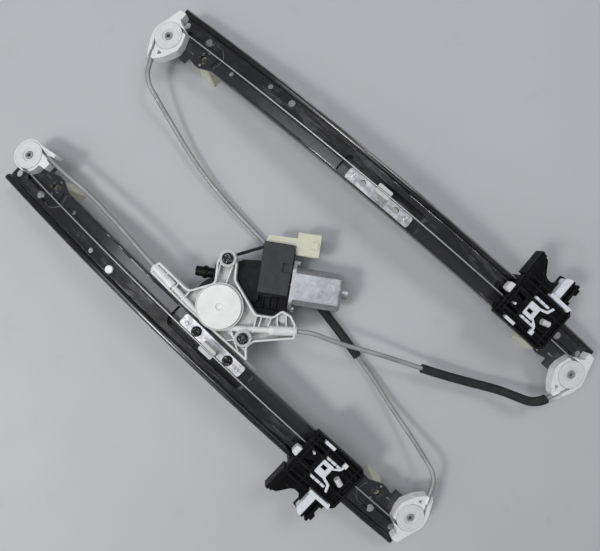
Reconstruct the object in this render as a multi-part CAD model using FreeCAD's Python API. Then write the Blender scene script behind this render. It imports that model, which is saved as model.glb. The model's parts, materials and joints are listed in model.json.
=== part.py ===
import FreeCAD, Part
import math
import os

# A window regulator: two curved rails lying crown up, a cable drum driven by a worm-gear motor, one closed
# loop of wire and a glass carrier on each rail. Sizes in millimetres. The table is at z = 0, +Z points away
# from it, +Y points to the rails' upper ends (window shut) and +X to the right-hand rail.

# Rails: v runs across a rail from its rolled outer edge, u along its arc from mid length, w up from the web
RAIL_RADIUS = 1200.0
RAIL_HALF = 265.5
RAIL_WIDTH = 35.0
RAIL_SHEET = 1.4
RAIL_WALL_DROP = 9.0
HEM_WIDTH = 6.6
HEM_RISE = 4.3
EDGE_BEND = 2.5
RAIL_SPACING = 264.0
RAIL_STAGGER = 24.0
RAIL_SPLAY = 1.75
CROWN_Z = 49.3
FLANGE_HALF = 200.0
BUTTON_V = 11.2
BUTTON_U = 120.0
BUTTON_R = 3.4
BUTTON_RISE = 1.6
WEB_REACH = 4.0
LEFT_TOP_REACH = 7.0
LEFT = -1
RIGHT = 1
HANDS = {"left": LEFT, "right": RIGHT}

# Wire, conduits and pulleys
WIRE_D = 1.5
WIRE_RISE = 6.0
CONDUIT_D = 4.5
FOAM_D = 9.0
GROOVE_R = 12.5
PULLEY_R = 14.2
PULLEY_LOW = 3.2
PULLEY_HIGH = 8.8
PULLEY_V = 34.8
PULLEY_INSET = 6.5
PULLEY_U = RAIL_HALF - PULLEY_INSET
PIN_R = 3.0
PIN_BORE_R = 1.9
EAR_SAG = 0.02
BRACKET_TOP = 8.6
BRACKET_FLOOR = 2.6
SOCKET_R = 4.1
SOCKET_DEEP = 8.0
CONDUIT_SEAT = 6.0

# Clearances: a running bore, free air round a moving piece, and a snug seat
RUNNING_GAP = 0.05
FREE_GAP = 0.35
SNUG_GAP = 0.1

# Fixing holes of the rails, in the lobes, and the plugs under them
LOBE_HOLE_R = 3.1
LOBE_HOLE_V = 29.6
LOBE_HOLE_U = 219.4
LOBE_RING_DROP = 2.2
PLUG_FOOT = 13.0

# Mid-length recess, bridge plate and wire guide
STATION = -1.5
RECESS_HALF = 49.0
RECESS_V = 12.8
RECESS_DEPTH = 7.0
PLATE_HALF = 38.4
PLATE_SHEET = 1.4
PLATE_TOP = -3.6
PLATE_V = (21.2, 33.3)
PLATE_HOLE_V = 26.3
PLATE_HOLE_PITCH = 40.4
PLATE_HOLE_R = 3.2
GUIDE_LENGTH = 16.0
GUIDE_V = (17.6, 26.8)
PLATE_SCREW_LENGTH = 12.5

# Carriers
CARRIER_HALF = 31.4
CARRIER_V = (-8.8, 41.0)
CARRIER_DECK = 2.2
CARRIER_LOW = 7.9
CARRIER_HIGH = 14.6
CLIP_V = (10.1, 23.9)
LEFT_CARRIER_U = -158.0
RIGHT_CARRIER_U = -181.0

# Drum, worm gear and motor; the worm's axis passes beside the drum's
DRUM_X = -73.0
DRUM_Y = 29.3
WIND_R = 20.4
DRUM_R = 21.4
DRUM_LOW = 37.0
DRUM_HIGH = 49.5
WIND_Z = 42.0
WHEEL_TEETH = 73
MOTOR_TURN = -57.2
WORM_OFFSET = 30.0
WORM_R = 4.0
WORM_HALF = 9.0
MOTOR_Z = 24.7
GEAR_LOW = 10.5
SHAFT_R = 4.0
SHAFT_TOP = 46.0
HUB_R = 6.0
WHEEL_LOW = 19.7
WHEEL_HIGH = 29.7
CASE_R = 29.2
CASE_WALL = 2.0
TUNNEL_R = 6.0
EXTENSION_END = 63.5
NOZZLE_R = 5.0
EAR_R = 6.0
ARMATURE_R = 2.5
ROTOR_R = 12.4
CAN_R = 19.0
CAN_HALF_HEIGHT = 14.2
CAN_LENGTH = 47.0
CAN_START = 67.0
CAN_WALL = 1.6
END_BOSS_R = 5.6
FLANGE_SCREW_N = 22.9
FLANGE_SCREW_R = 1.95
FLANGE_EAR = (56.5, 26.0, 5.6)

# Electronics box and connector, in the motor's own frame
BOX_T = (32.0, 62.0)
BOX_N = (-11.0, 39.0)
BOX_Z = (12.0, 39.5)
BOX_WALL = 1.8
CONNECTOR_T = (63.2, 86.0)
CONNECTOR_N = (30.0, 53.0)
CONNECTOR_Z = (19.0, 34.0)
CONNECTOR_DEEP = 15.0

# Drum housing, about the drum's axis
BASE_LOW = 35.0
BASE_SHEET = 2.2
RIM_HIGH = 46.0
RIM_WALL = 1.8
WELL_WALL = 1.2
BOSS_R = 8.2
BOSS_HIGH = 48.4
SCREW_R = 2.5
HOUSING_BOSSES = [(39.4, 24.2), (-7.6, -36.6)]
BLIND_BOSS = (31.4, -52.4)
TUBE_R = 4.7
UPPER_ARM = (-13.4, 71.2)
RIGHT_ARM = (29.9, -69.7)

UP = FreeCAD.Vector(0, 0, 1)
Vector = FreeCAD.Vector
ORIGIN = Vector(0, 0, 0)
TO_MIDDLE = Vector(-0.35, 1.49, 0)
ACROSS = Vector(1, 0, 0)
ALONG = Vector(0, 1, 0)
RAIL_CENTRE = Vector(0, 0, -RAIL_RADIUS)
WIRE_R = WIRE_D / 2
WIRE_V = PULLEY_V - GROOVE_R
POCKET_R = PULLEY_R + FREE_GAP
PLUG_TOP = -RAIL_SHEET - LOBE_RING_DROP
WELL_R = DRUM_R + FREE_GAP
WHEEL_PITCH_R = WORM_OFFSET - WORM_R - 0.45
MOTOR_SIN = math.sin(math.radians(MOTOR_TURN))
MOTOR_COS = math.cos(math.radians(MOTOR_TURN))
MESH_X = DRUM_X - MOTOR_SIN * WORM_OFFSET
MESH_Y = DRUM_Y + MOTOR_COS * WORM_OFFSET
TINY = 1e-6


# Shapes made often

def bend(before, at, after, radius):
    """Start, middle and end of the arc that rounds one corner."""
    if radius == 0:
        return at, at, at
    come = (at - before).normalize()
    go = (after - at).normalize()
    half_turn = come.getAngle(go) / 2
    back = radius * math.tan(half_turn)
    inward = (go - come).normalize()
    middle = at + inward * (radius / math.cos(half_turn) - radius)
    return at - come * back, middle, at + go * back


def rounded_wire(points, radii, closed=True):
    """Straight runs joined by tangent arcs. One radius serves all corners, or each has its own."""
    count = len(points)
    if not isinstance(radii, (list, tuple)):
        radii = [radii] * count
    bends = []
    for i in range(count):
        free_end = not closed and i in (0, count - 1)
        radius = 0 if free_end else radii[i]
        bends.append(bend(points[i - 1], points[i], points[(i + 1) % count], radius))
    edges = []
    for i in range(count):
        start, middle, end = bends[i]
        if (end - start).Length > TINY:
            edges.append(Part.Arc(start, middle, end).toShape())
        if closed or i < count - 1:
            following = bends[(i + 1) % count][0]
            if (following - end).Length > TINY:
                edges.append(Part.LineSegment(end, following).toShape())
    return Part.Wire(edges)


def slab(points, radii, low, high):
    """A plate with a rounded outline, from one height to another."""
    wire = rounded_wire([Vector(x, y, low) for x, y in points], radii)
    return Part.Face(wire).extrude(Vector(0, 0, high - low))


def block(x0, x1, y0, y1, z0, z1):
    return Part.makeBox(x1 - x0, y1 - y0, z1 - z0, Vector(x0, y0, z0))


def disc(x, y, low, high, radius):
    return Part.makeCylinder(radius, high - low, Vector(x, y, low))


def ring(x, y, low, high, outer, inner):
    return disc(x, y, low, high, outer).cut(disc(x, y, low, high, inner))


def turned(points, x=0.0, y=0.0):
    """A body turned about an upright axis, from its half section of (radius, height) points."""
    wire = Part.makePolygon([Vector(r, 0, z) for r, z in points + points[:1]])
    solid = Part.Face(wire).revolve(ORIGIN, UP, 360)
    solid.translate(Vector(x, y, 0))
    return solid


def joined(shapes):
    return shapes[0].fuse(shapes[1:]).removeSplitter()


def without(shape, tools):
    return shape.cut(tools)


def rod(start, end, radius):
    return Part.makeCylinder(radius, (end - start).Length, start, end - start)


def tangent_point(point, radius, turn):
    """Where a straight wire from a point touches a circle about the origin."""
    reach = math.hypot(point[0], point[1])
    angle = math.atan2(point[1], point[0]) + turn * math.acos(radius / reach)
    return radius * math.cos(angle), radius * math.sin(angle)


# Places on a rail

def at_station(shape, u):
    """Moves a piece modelled at mid length to its place along the arc."""
    moved = shape.copy()
    moved.rotate(RAIL_CENTRE, ACROSS, -math.degrees(u / RAIL_RADIUS))
    return moved


def along_rail(face, u0, u1):
    """Carries a cross-section along the arc."""
    return at_station(face, u0).revolve(RAIL_CENTRE, -ACROSS, math.degrees((u1 - u0) / RAIL_RADIUS))


def section(points, radii=0.0):
    """A cross-section from (v, w) points."""
    return Part.Face(rounded_wire([Vector(v, 0, w) for v, w in points], radii))


def strip(v0, v1, w0, w1, u0, u1):
    """A rectangular bar that follows the arc."""
    return along_rail(section([(v0, w0), (v1, w0), (v1, w1), (v0, w1)]), u0, u1)


def on_side(shape, hand):
    """Puts a piece of the left-hand rail's pattern on either side of the regulator."""
    if hand == RIGHT:
        placed = shape.mirror(ORIGIN, ACROSS)
    else:
        placed = shape.copy()
    placed.rotate(ORIGIN, UP, hand * RAIL_SPLAY)
    placed.translate(Vector(hand * RAIL_SPACING / 2, -hand * RAIL_STAGGER / 2, CROWN_Z))
    return placed


def at_end(shape, end):
    """Moves a piece modelled about the upper pulley to the rail's upper (1) or lower (-1) end."""
    if end < 0:
        shape = shape.mirror(ORIGIN, ALONG)
    shape = shape.copy()
    shape.translate(Vector(PULLEY_V, 0, 0))
    return at_station(shape, end * PULLEY_U)


def end_point(x, y, z, end, hand):
    """The same move for one point."""
    return on_side(at_end(Part.Vertex(x, y, z), end), hand).Point


# Rails

def rail_section():
    hem_inner = HEM_WIDTH - RAIL_SHEET
    edge_inner = RAIL_WIDTH - RAIL_SHEET
    hem_r = HEM_WIDTH / 2
    return section(
        [
            (0, -RAIL_WALL_DROP),
            (0, HEM_RISE),
            (HEM_WIDTH, HEM_RISE),
            (HEM_WIDTH, 0),
            (RAIL_WIDTH, 0),
            (RAIL_WIDTH, -RAIL_WALL_DROP),
            (edge_inner, -RAIL_WALL_DROP),
            (edge_inner, -RAIL_SHEET),
            (hem_inner, -RAIL_SHEET),
            (hem_inner, HEM_RISE - RAIL_SHEET),
            (RAIL_SHEET, HEM_RISE - RAIL_SHEET),
            (RAIL_SHEET, -RAIL_WALL_DROP),
        ],
        [
            0,
            hem_r - 0.1,
            hem_r - 0.1,
            0.8,
            EDGE_BEND,
            0,
            0,
            EDGE_BEND - RAIL_SHEET,
            0.8 + RAIL_SHEET,
            hem_r - RAIL_SHEET - 0.1,
            hem_r - RAIL_SHEET - 0.1,
            0,
        ],
    )


def hem_section():
    """The rolled outer edge alone, cut where it meets the web."""
    cut_off = block(HEM_WIDTH + 1.0, RAIL_WIDTH + 1, -1, 1, -RAIL_WALL_DROP - 1, 1)
    return rail_section().cut(cut_off).Faces[0]


# The web near a rail's end, seen from above: neck, ear under the pulley, hook tab and lobe
END_OUTLINE = [
    (-14.5, -5.0),
    (-9.0, 2.5),
    (-6.0, 7.5),
    (6.0, 7.5),
    (9.0, 2.5),
    (8.0, -7.0),
    (3.0, -12.0),
    (3.0, -17.5),
    (10.0, -17.5),
    (10.0, -26.8),
    (3.0, -26.8),
    (5.4, -35.5),
    (5.6, -41.5),
    (0.2, -54.5),
    (0.2, -60.0),
    (-28.0, -60.0),
]
END_RADII = [1, 1, 4, 4, 3, 1, 2, 1, 0.8, 0.8, 1, 2, 4, 4, 0, 0]
POCKET_OUTLINE = [
    (-17.0, -30.0),
    (-23.4, -39.0),
    (-22.6, -51.0),
    (-14.0, -57.6),
    (-2.0, -55.0),
    (-1.6, -50.5),
    (-14.5, -52.5),
    (-17.6, -47.5),
    (-17.8, -40.5),
    (-12.4, -33.5),
    (-12.4, -30.0),
]
POCKET_RADII = [1, 4, 6, 5, 1, 1, 3.5, 2, 2, 2, 1]
POCKET_DEPTH = 2.6
STRIP_RECESS = [(-18.3, -29.0), (-14.4, -29.0), (-14.4, -8.5), (-18.3, -8.5)]


def pressed(outline, radii, depth, skin):
    """A pressed recess: what is taken from the sheet, and the floor and walls that it becomes."""
    opening = slab(outline, radii, -RAIL_SHEET - 1, 1)
    wire = rounded_wire([Vector(x, y, 0) for x, y in outline], radii)
    outer = Part.Face(wire.makeOffset2D(skin)).extrude(Vector(0, 0, -depth - skin))
    outer.translate(Vector(0, 0, -0.2))
    inner = slab(outline, radii, -depth, 1)
    return opening, outer.cut(inner)


def rail_end(reach):
    """The web's shaped end with its holes, about the upper pulley, its outer corner cut off at reach."""
    web = strip(-30, 14, -RAIL_SHEET, 0, -70, 20)
    outline = END_OUTLINE + [(-28.0, reach), (-16.8, reach)]
    plate = web.common(slab(outline, END_RADII + [2, 2], -12, 12))
    additions = []
    for outline, radii in ((POCKET_OUTLINE, POCKET_RADII), (STRIP_RECESS, 1.2)):
        opening, dish = pressed(outline, radii, POCKET_DEPTH, 1.0)
        plate = plate.cut(opening)
        additions.append(dish)
    lobe_x = LOBE_HOLE_V - PULLEY_V
    lobe_y = LOBE_HOLE_U - PULLEY_U
    additions.append(ring(lobe_x, lobe_y, PLUG_TOP, -0.4, LOBE_HOLE_R + 1.5, LOBE_HOLE_R))
    plate = joined([plate] + additions)
    drills = [
        strip(-40, 20, 0, 8, -80, 30),
        disc(0, 0, -9, 9, PIN_R + SNUG_GAP),
        disc(lobe_x, lobe_y, -9, 9, LOBE_HOLE_R),
        disc(-21.5, reach - 6.0, -9, 9, 3.6),
        disc(-21.3, -32.6, -9, 9, 3.7),
        disc(lobe_x - 7.5, lobe_y - 1.5, -9, 9, 1.7),
        disc(lobe_x + 7.2, lobe_y - 1.0, -9, 9, 1.7),
        slab([(-1.0, -29.0), (-2.4, -17.5), (-3.4, -29.0)], 0.4, -9, 9),
    ]
    return without(plate, drills)


def mid_recess():
    """Opening and tray of the long recess at mid length."""
    inner_wall = RAIL_WIDTH - RAIL_SHEET
    plan = [
        (RECESS_V, -RECESS_HALF),
        (inner_wall, -RECESS_HALF),
        (inner_wall, RECESS_HALF),
        (RECESS_V, RECESS_HALF),
    ]
    corner_radii = [7, 2, 2, 7]
    skin = RAIL_SHEET
    in_wall = inner_wall + RAIL_SHEET / 2
    outer_plan = [
        (RECESS_V - skin, -RECESS_HALF - skin),
        (in_wall, -RECESS_HALF - skin),
        (in_wall, RECESS_HALF + skin),
        (RECESS_V - skin, RECESS_HALF + skin),
    ]
    floor = -RECESS_DEPTH
    reach = RECESS_HALF + 5
    tray = strip(RECESS_V - 3, in_wall, floor - skin, -0.2, -reach, reach)
    tray = tray.common(slab(outer_plan, [7 + skin, 0, 0, 7 + skin], floor - 9, 9))
    hollow = strip(RECESS_V - 5, inner_wall + 2, floor, 2, -reach, reach)
    hollow = hollow.common(slab(plan, corner_radii, floor - 9, 9))
    return hollow, tray.cut(hollow)


def rail(hand):
    """One roll-formed rail with its pressed recess, lobes, ears and holes."""
    pieces = [along_rail(rail_section(), -FLANGE_HALF, FLANGE_HALF)]
    for end in (1, -1):
        first, last = sorted((end * FLANGE_HALF, end * RAIL_HALF))
        pieces.append(along_rail(hem_section(), first, last))
        shaped = rail_end(LEFT_TOP_REACH if (hand, end) == (LEFT, 1) else WEB_REACH)
        pieces.append(at_end(shaped, end))
    body = joined(pieces)
    hollow, tray = mid_recess()
    body = body.cut(at_station(hollow, STATION))
    body = joined([body, at_station(tray, STATION)])
    holes = [
        at_station(disc(PLATE_HOLE_V, k * PLATE_HOLE_PITCH / 2, -14, 3, PLATE_HOLE_R), STATION)
        for k in (-1, 1)
    ]
    holes.append(at_station(disc(25.2, 0, -4, 2, 2.3), PULLEY_U - 73.0))
    holes.append(at_station(disc(BUTTON_V, 0, -4, 2, BUTTON_R), BUTTON_U))
    holes.append(at_station(disc(BUTTON_V, 0, -4, 2, 2.6), BUTTON_U + 27))
    return on_side(without(body, holes), hand)


def rail_button():
    """The round plug pressed into the left rail's web."""
    head = turned([(0, 0.2), (4.2, 0.2), (3.7, BUTTON_RISE), (0, BUTTON_RISE)], BUTTON_V)
    stem = disc(BUTTON_V, 0, -3.2, 0.2, BUTTON_R - SNUG_GAP)
    return on_side(at_station(joined([head, stem]), BUTTON_U), LEFT)


def bridge_plate(hand):
    """The galvanised bridge over the recess, its feet turned in, with two fixing places."""
    v0, v1 = PLATE_V
    top = PLATE_TOP
    under = top - PLATE_SHEET
    floor = -RECESS_DEPTH
    foot = floor + PLATE_SHEET
    reach = PLATE_HALF
    leg = reach - PLATE_SHEET
    half = [
        (leg, under),
        (leg, foot),
        (reach - 7.0, foot),
        (reach - 7.0, floor),
        (reach, floor),
        (reach, top),
    ]
    outline = half + [(-y, z) for y, z in reversed(half)]
    wire = rounded_wire([Vector(v0, y, z) for y, z in outline], 0)
    plate = Part.Face(wire).extrude(Vector(v1 - v0, 0, 0))
    plate = plate.common(strip(v0, v1, floor, 2, -reach - 9, reach + 9))
    plate = plate.common(slab([(v0, -reach), (v1, -reach), (v1, reach), (v0, reach)], 2.6, floor - 2, 2))
    emboss = [(1.0, top - 0.2), (2.6, top - 0.2), (2.1, top + 0.5), (1.4, top + 0.5)]
    for k in (-1, 1):
        plate = plate.fuse(turned(emboss, PLATE_HOLE_V - 0.6, k * 32.2))
    cuts = [disc(PLATE_HOLE_V, k * PLATE_HOLE_PITCH / 2, -14, 3, PLATE_HOLE_R) for k in (-1, 1)]
    cuts.append(slab([(29.4, -4.5), (31.4, -6.5), (v1 + 1, -6.5), (v1 + 1, -4.0), (31.6, -3.4), (31.4, 2.5),
                      (29.4, 2.5)], 0.4, floor + 3, 2))
    plate = without(plate.removeSplitter(), cuts)
    return on_side(at_station(plate, STATION), hand)


def wire_guide(hand):
    """The nylon block that keeps the wire on the rail's curve, hooked over the plate's edge."""
    v0, v1 = GUIDE_V
    half = GUIDE_LENGTH / 2
    seat = WIRE_RISE - WIRE_R
    body = slab([(v0, -half), (v1, -half), (v1, half), (v0, half)], 1.6, PLATE_TOP, seat + 1.1)
    groove = strip(WIRE_V - WIRE_R - 0.3, WIRE_V + WIRE_R + 0.3, seat, seat + 3, -half - 1, half + 1)
    stem = block(v0 + 0.8, PLATE_V[0] - SNUG_GAP, -half + 2, half - 2, -RECESS_DEPTH + 0.3, PLATE_TOP)
    body = joined([body, stem]).cut(groove)
    return on_side(at_station(body, STATION), hand)


def plate_screw(k):
    """A pan-head screw with a crossed slot, through the left plate into the drum housing's foot."""
    y = k * PLATE_HOLE_PITCH / 2
    head = turned(
        [(0, PLATE_TOP), (5.0, PLATE_TOP), (5.0, PLATE_TOP + 1.2), (3.6, PLATE_TOP + 2.9),
         (0, PLATE_TOP + 2.9)],
        PLATE_HOLE_V, y,
    )
    shank = disc(PLATE_HOLE_V, y, -PLATE_SCREW_LENGTH, PLATE_TOP + 0.5, PLATE_HOLE_R - 0.4)
    cross = [
        block(PLATE_HOLE_V - 2.4, PLATE_HOLE_V + 2.4, y - 0.5, y + 0.5, PLATE_TOP + 1.5, PLATE_TOP + 4),
        block(PLATE_HOLE_V - 0.5, PLATE_HOLE_V + 0.5, y - 2.4, y + 2.4, PLATE_TOP + 1.5, PLATE_TOP + 4),
    ]
    return on_side(at_station(without(joined([head, shank]), cross), STATION), LEFT)


# Pulleys, their rivets and brackets, in the frame of the upper pulley

def pulley():
    """A grooved wheel with a sunk face, its groove clear of the wire that lies in it."""
    groove = GROOVE_R - WIRE_R - 0.3
    mid = WIRE_RISE
    half = [
        (PIN_R + RUNNING_GAP, PULLEY_LOW),
        (PULLEY_R, PULLEY_LOW),
        (PULLEY_R, mid - 1.6),
        (groove, mid - 1.1),
        (groove, mid + 1.1),
        (PULLEY_R, mid + 1.6),
        (PULLEY_R, PULLEY_HIGH),
        (6.6, PULLEY_HIGH),
        (6.2, PULLEY_HIGH - 1.0),
        (PIN_R + RUNNING_GAP, PULLEY_HIGH - 1.0),
    ]
    return turned(half)


def pulley_pin():
    """A hollow rivet through the rail's ear, the bracket and the pulley."""
    head = PULLEY_HIGH - 1.0 + 0.2
    seat = -RAIL_SHEET - EAR_SAG
    half = [
        (PIN_BORE_R, seat - 1.4),
        (PIN_R + 1.8, seat - 1.4),
        (PIN_R + 1.8, seat),
        (PIN_R, seat),
        (PIN_R, head),
        (PIN_R + 1.3, head),
        (PIN_R + 0.8, head + 0.9),
        (PIN_BORE_R + 0.4, head + 0.9),
        (PIN_BORE_R, head),
    ]
    return turned(half)


WING_OUTLINE = [
    (-27.8, 0.2),
    (-27.2, 8.2),
    (-14.0, 12.2),
    (0.0, 17.5),
    (12.0, 14.3),
    (27.6, 5.0),
    (27.2, -3.2),
    (19.4, -11.4),
    (6.5, -18.6),
    (-1.5, -18.0),
    (-14.0, -13.0),
    (-16.4, -4.0),
    (-20.4, 1.8),
    (-21.6, 0.2),
]
WING_RADII = [0.8, 1, 12, 15, 14, 1, 1, 12, 3, 4, 6, 3, 0.9, 0.6]
WING_MOUTH = (28.3, 0.06)
ROUND_OUTLINE = [
    (-15.9, -16.4),
    (-15.9, 15.9),
    (15.9, 15.9),
    (15.9, -6.0),
    (18.9, -24.8),
    (15.4, -24.8),
    (15.0, -19.4),
    (9.0, -19.4),
    (8.6, -24.2),
    (1.2, -24.0),
    (0.6, -16.4),
]
ROUND_RADII = [14, 15.5, 15.5, 8, 1, 1, 1, 1, 1, 1.5, 2]
ROUND_MOUTH = (12.0, -19.4)


def mouth_line(mouth, turn):
    """The wire's touching point on the pulley and the direction in which it leaves through the mouth."""
    touch = tangent_point(mouth, GROOVE_R, turn)
    start = Vector(touch[0], touch[1], WIRE_RISE)
    end = Vector(mouth[0], mouth[1], WIRE_RISE)
    return start, end, (end - start).normalize()


def bracket(outline, radii, mouth, turn, tab):
    """A pulley bracket: floor, pocket, wire slots, conduit socket and, on the winged ones, an end tab."""
    body = slab(outline, radii, 0, BRACKET_TOP)
    start, end, leave = mouth_line(mouth, turn)
    body = joined([body, rod(end - leave * SOCKET_DEEP, end, SOCKET_R)])
    under_web = block(-60, 60, -60, 60, -20, 0)
    cuts = [
        under_web,
        disc(0, 0, BRACKET_FLOOR, 20, POCKET_R),
        disc(0, 0, -1, 20, PIN_R + SNUG_GAP),
        block(-GROOVE_R - 1.6, -GROOVE_R + 1.6, -30, 0, WIRE_RISE - 1.6, 20),
        rod(end - leave * CONDUIT_SEAT, end + leave * 6, CONDUIT_D / 2),
    ]
    side = Vector(-leave.y, leave.x, 0) * 1.4
    slot_low = WIRE_RISE - 1.4
    corners = [start + side, end + side, end - side, start - side]
    cuts.append(slab([(p.x, p.y) for p in corners], 0, slot_low, 20).common(
        block(-60, 60, -60, 60, slot_low, BRACKET_TOP + 5)))
    body = without(body, cuts)
    if tab:
        wall = block(-27.0, -21.4, 4.6, 7.4, -6.0, 0.2)
        recess = slab([(16.8, -1.6), (21.6, -3.6), (17.6, -7.0)], 0.6, BRACKET_FLOOR, 20)
        body = joined([body.cut(recess), wall])
    else:
        clip = slab([(15.4, -24.8), (18.9, -24.8), (18.4, -16.5), (15.1, -17.5)], 0.8, 0, 10.4)
        body = joined([body, clip.cut(rod(end - leave * CONDUIT_SEAT, end + leave * 12, CONDUIT_D / 2))])
    return body


def end_bracket(hand, end):
    if hand == LEFT and end == 1:
        piece = bracket(ROUND_OUTLINE, ROUND_RADII, ROUND_MOUTH, 1, False)
    else:
        piece = bracket(WING_OUTLINE, WING_RADII, WING_MOUTH, 1, True)
    return on_side(at_end(piece, end), hand)


def locating_plug(hand, end):
    """An ivory plug square to its lobe, with a flared foot that stands on the table."""
    x = LOBE_HOLE_V - PULLEY_V
    y = LOBE_HOLE_U - PULLEY_U
    spot = end_point(x, y, 0, end, hand)
    lean = end_point(x, y, 1, end, hand) - spot
    head_z = spot.z + PLUG_TOP - 2.2
    wires = []
    for size, z in ((8.0, head_z), (9.5, head_z - 6), (PLUG_FOOT, 2.5), (PLUG_FOOT + 0.4, 0)):
        centre = spot + lean * ((z - spot.z) / lean.z)
        corners = []
        for k in range(4):
            angle = math.radians(45 + 90 * k)
            corners.append(centre + Vector(size * math.cos(angle), size * math.sin(angle), 0))
        wires.append(rounded_wire(corners, 2.0))
    foot = Part.makeLoft(wires, True, True)
    stub = at_end(disc(x, y, PLUG_TOP - 8.0, PLUG_TOP, 5.4), end)
    stub = on_side(stub, hand)
    hole = on_side(at_end(disc(x, y, PLUG_TOP - 14.0, PLUG_TOP + 1, LOBE_HOLE_R), end), hand)
    return joined([foot, stub]).cut(hole)


# Wire runs on the rails and round the pulleys

def swept(points, radii, radius):
    """A round cord along straight runs joined by tangent arcs."""
    path = rounded_wire(points, radii, closed=False)
    first = path.Edges[0]
    start = first.valueAt(first.FirstParameter)
    heading = first.tangentAt(first.FirstParameter)
    circle = Part.Wire(Part.makeCircle(radius, start, heading))
    return path.makePipeShell([circle], True, False)


def arc_wire(u0, u1, w, v):
    """A round wire that follows the rail's curve."""
    face = Part.Face(Part.Wire(Part.makeCircle(WIRE_R, Vector(v, 0, w), ALONG)))
    return along_rail(face, u0, u1)


def pulley_wrap(mouth, turn):
    """The wire round the upper pulley, from the rail side to the conduit's end in the bracket."""
    start, end, leave = mouth_line(mouth, turn)
    seat = end - leave * CONDUIT_SEAT
    first = math.atan2(start.y, start.x)
    middle_angle = (first + math.pi) / 2
    low = Vector(-GROOVE_R, 0, WIRE_RISE)
    middle = Vector(GROOVE_R * math.cos(middle_angle), GROOVE_R * math.sin(middle_angle), WIRE_RISE)
    path = Part.Wire([
        Part.Arc(low, middle, start).toShape(),
        Part.LineSegment(start, seat).toShape(),
    ])
    circle = Part.Wire(Part.makeCircle(WIRE_R, low, ALONG))
    return path.makePipeShell([circle], True, False)


def rail_wire(hand, end, carrier_u):
    """The wire from a pulley's conduit, round the pulley and along the rail to the carrier."""
    mouth = ROUND_MOUTH if (hand, end) == (LEFT, 1) else WING_MOUTH
    wrap = at_end(pulley_wrap(mouth, 1), end)
    first, last = sorted((carrier_u, end * PULLEY_U))
    run = arc_wire(first, last, WIRE_RISE, WIRE_V)
    return on_side(joined([run, wrap]), hand)


# Conduit routes, chosen by hand; the first and last points are their seats

def seat_points(hand, end, lead):
    """A conduit's seat in a bracket and the point a short way out of its mouth."""
    mouth = ROUND_MOUTH if (hand, end) == (LEFT, 1) else WING_MOUTH
    start, finish, leave = mouth_line(mouth, 1)
    seat = finish - leave * CONDUIT_SEAT
    out = finish + leave * lead
    return end_point(*seat, end, hand), end_point(*out, end, hand)


def route_radii(points):
    """Each corner's arc, as large as its two runs allow."""
    radii = [0]
    for before, at, after in zip(points, points[1:], points[2:]):
        turn = (at - before).getAngle(after - at)
        shorter = min((at - before).Length, (after - at).Length)
        radii.append(0.45 * shorter / math.tan(turn / 2))
    return radii + [0]


def arm_line(tip, turn):
    """Where the wire to a housing arm touches the drum, the arm's mouth and the way out, in plan."""
    touch = tangent_point(tip, WIND_R, turn)
    leave = Vector(tip[0] - touch[0], tip[1] - touch[1], 0).normalize()
    start = Vector(DRUM_X + touch[0], DRUM_Y + touch[1], WIND_Z)
    end = Vector(DRUM_X + tip[0], DRUM_Y + tip[1], WIND_Z)
    return start, end, leave


def conduit_a_route():
    seat, out = seat_points(LEFT, 1, 14.0)
    start, end, leave = arm_line(UPPER_ARM, 1)
    return [
        seat,
        out,
        Vector(-77.6, 199.0, 34.0),
        Vector(-79.6, 165.0, 38.4),
        Vector(-82.6, 134.0, 41.2),
        end + leave * 14,
        end - leave * CONDUIT_SEAT,
    ]


def conduit_b_route():
    seat, out = seat_points(RIGHT, 1, 20.0)
    low_seat, low_out = seat_points(LEFT, -1, 20.0)
    return [
        seat,
        out,
        Vector(28.5, 194.0, 15.0),
        Vector(14.0, 149.0, 10.0),
        Vector(6.0, 104.0, 6.8),
        Vector(2.2, 58.0, 5.2),
        Vector(-2.0, 12.0, 4.9),
        Vector(-8.4, -36.0, 4.8),
        Vector(-17.5, -84.0, 5.0),
        Vector(-28.0, -132.0, 7.0),
        Vector(-39.6, -172.0, 11.0),
        Vector(-48.0, -207.0, 20.0),
        low_out,
        low_seat,
    ]


def conduit_c_route():
    seat, out = seat_points(RIGHT, -1, 18.5)
    start, end, leave = arm_line(RIGHT_ARM, -1)
    return [
        end - leave * CONDUIT_SEAT,
        end + leave * 14,
        Vector(-23.0, -82.0, 37.0),
        Vector(-8.5, -112.0, 31.0),
        Vector(5.0, -143.5, 25.0),
        Vector(19.0, -177.0, 19.5),
        Vector(34.5, -209.0, 17.0),
        Vector(47.5, -233.0, 18.5),
        out,
        seat,
    ]


def conduit(route):
    return swept(route, route_radii(route), CONDUIT_D / 2)


def foam_sleeve(route, first, last):
    """A foam sleeve over part of a conduit, from one route corner to another, open for the conduit."""
    part = route[first:last + 1]
    part[0] = (part[0] + part[1]) * 0.5
    part[-1] = (part[-1] + part[-2]) * 0.5
    all_radii = route_radii(route)
    radii = [0] + all_radii[first + 1:last] + [0]
    outer = swept(part, radii, FOAM_D / 2)
    return outer.cut(swept(part, radii, CONDUIT_D / 2))


# Carriers, modelled about their own middle on the rail's crown

def carrier_shoe():
    """The channel that slides on the rolled edge, hooks under its outer wall and clears the rail's plug."""
    gap = FREE_GAP
    hook = RAIL_WALL_DROP + gap
    leg = BUTTON_RISE + gap
    points = [
        (-3.4, CARRIER_LOW),
        (-3.4, -hook - 2.0),
        (RAIL_SHEET + 1.4, -hook - 2.0),
        (RAIL_SHEET + 1.4, -hook),
        (-gap, -hook),
        (-gap, HEM_RISE + gap),
        (HEM_WIDTH + gap, HEM_RISE + gap),
        (HEM_WIDTH + gap, leg),
        (HEM_WIDTH + gap + 2.2, leg),
        (HEM_WIDTH + gap + 2.2, CARRIER_LOW),
    ]
    return along_rail(section(points), -CARRIER_HALF + 2, CARRIER_HALF - 2)


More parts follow.
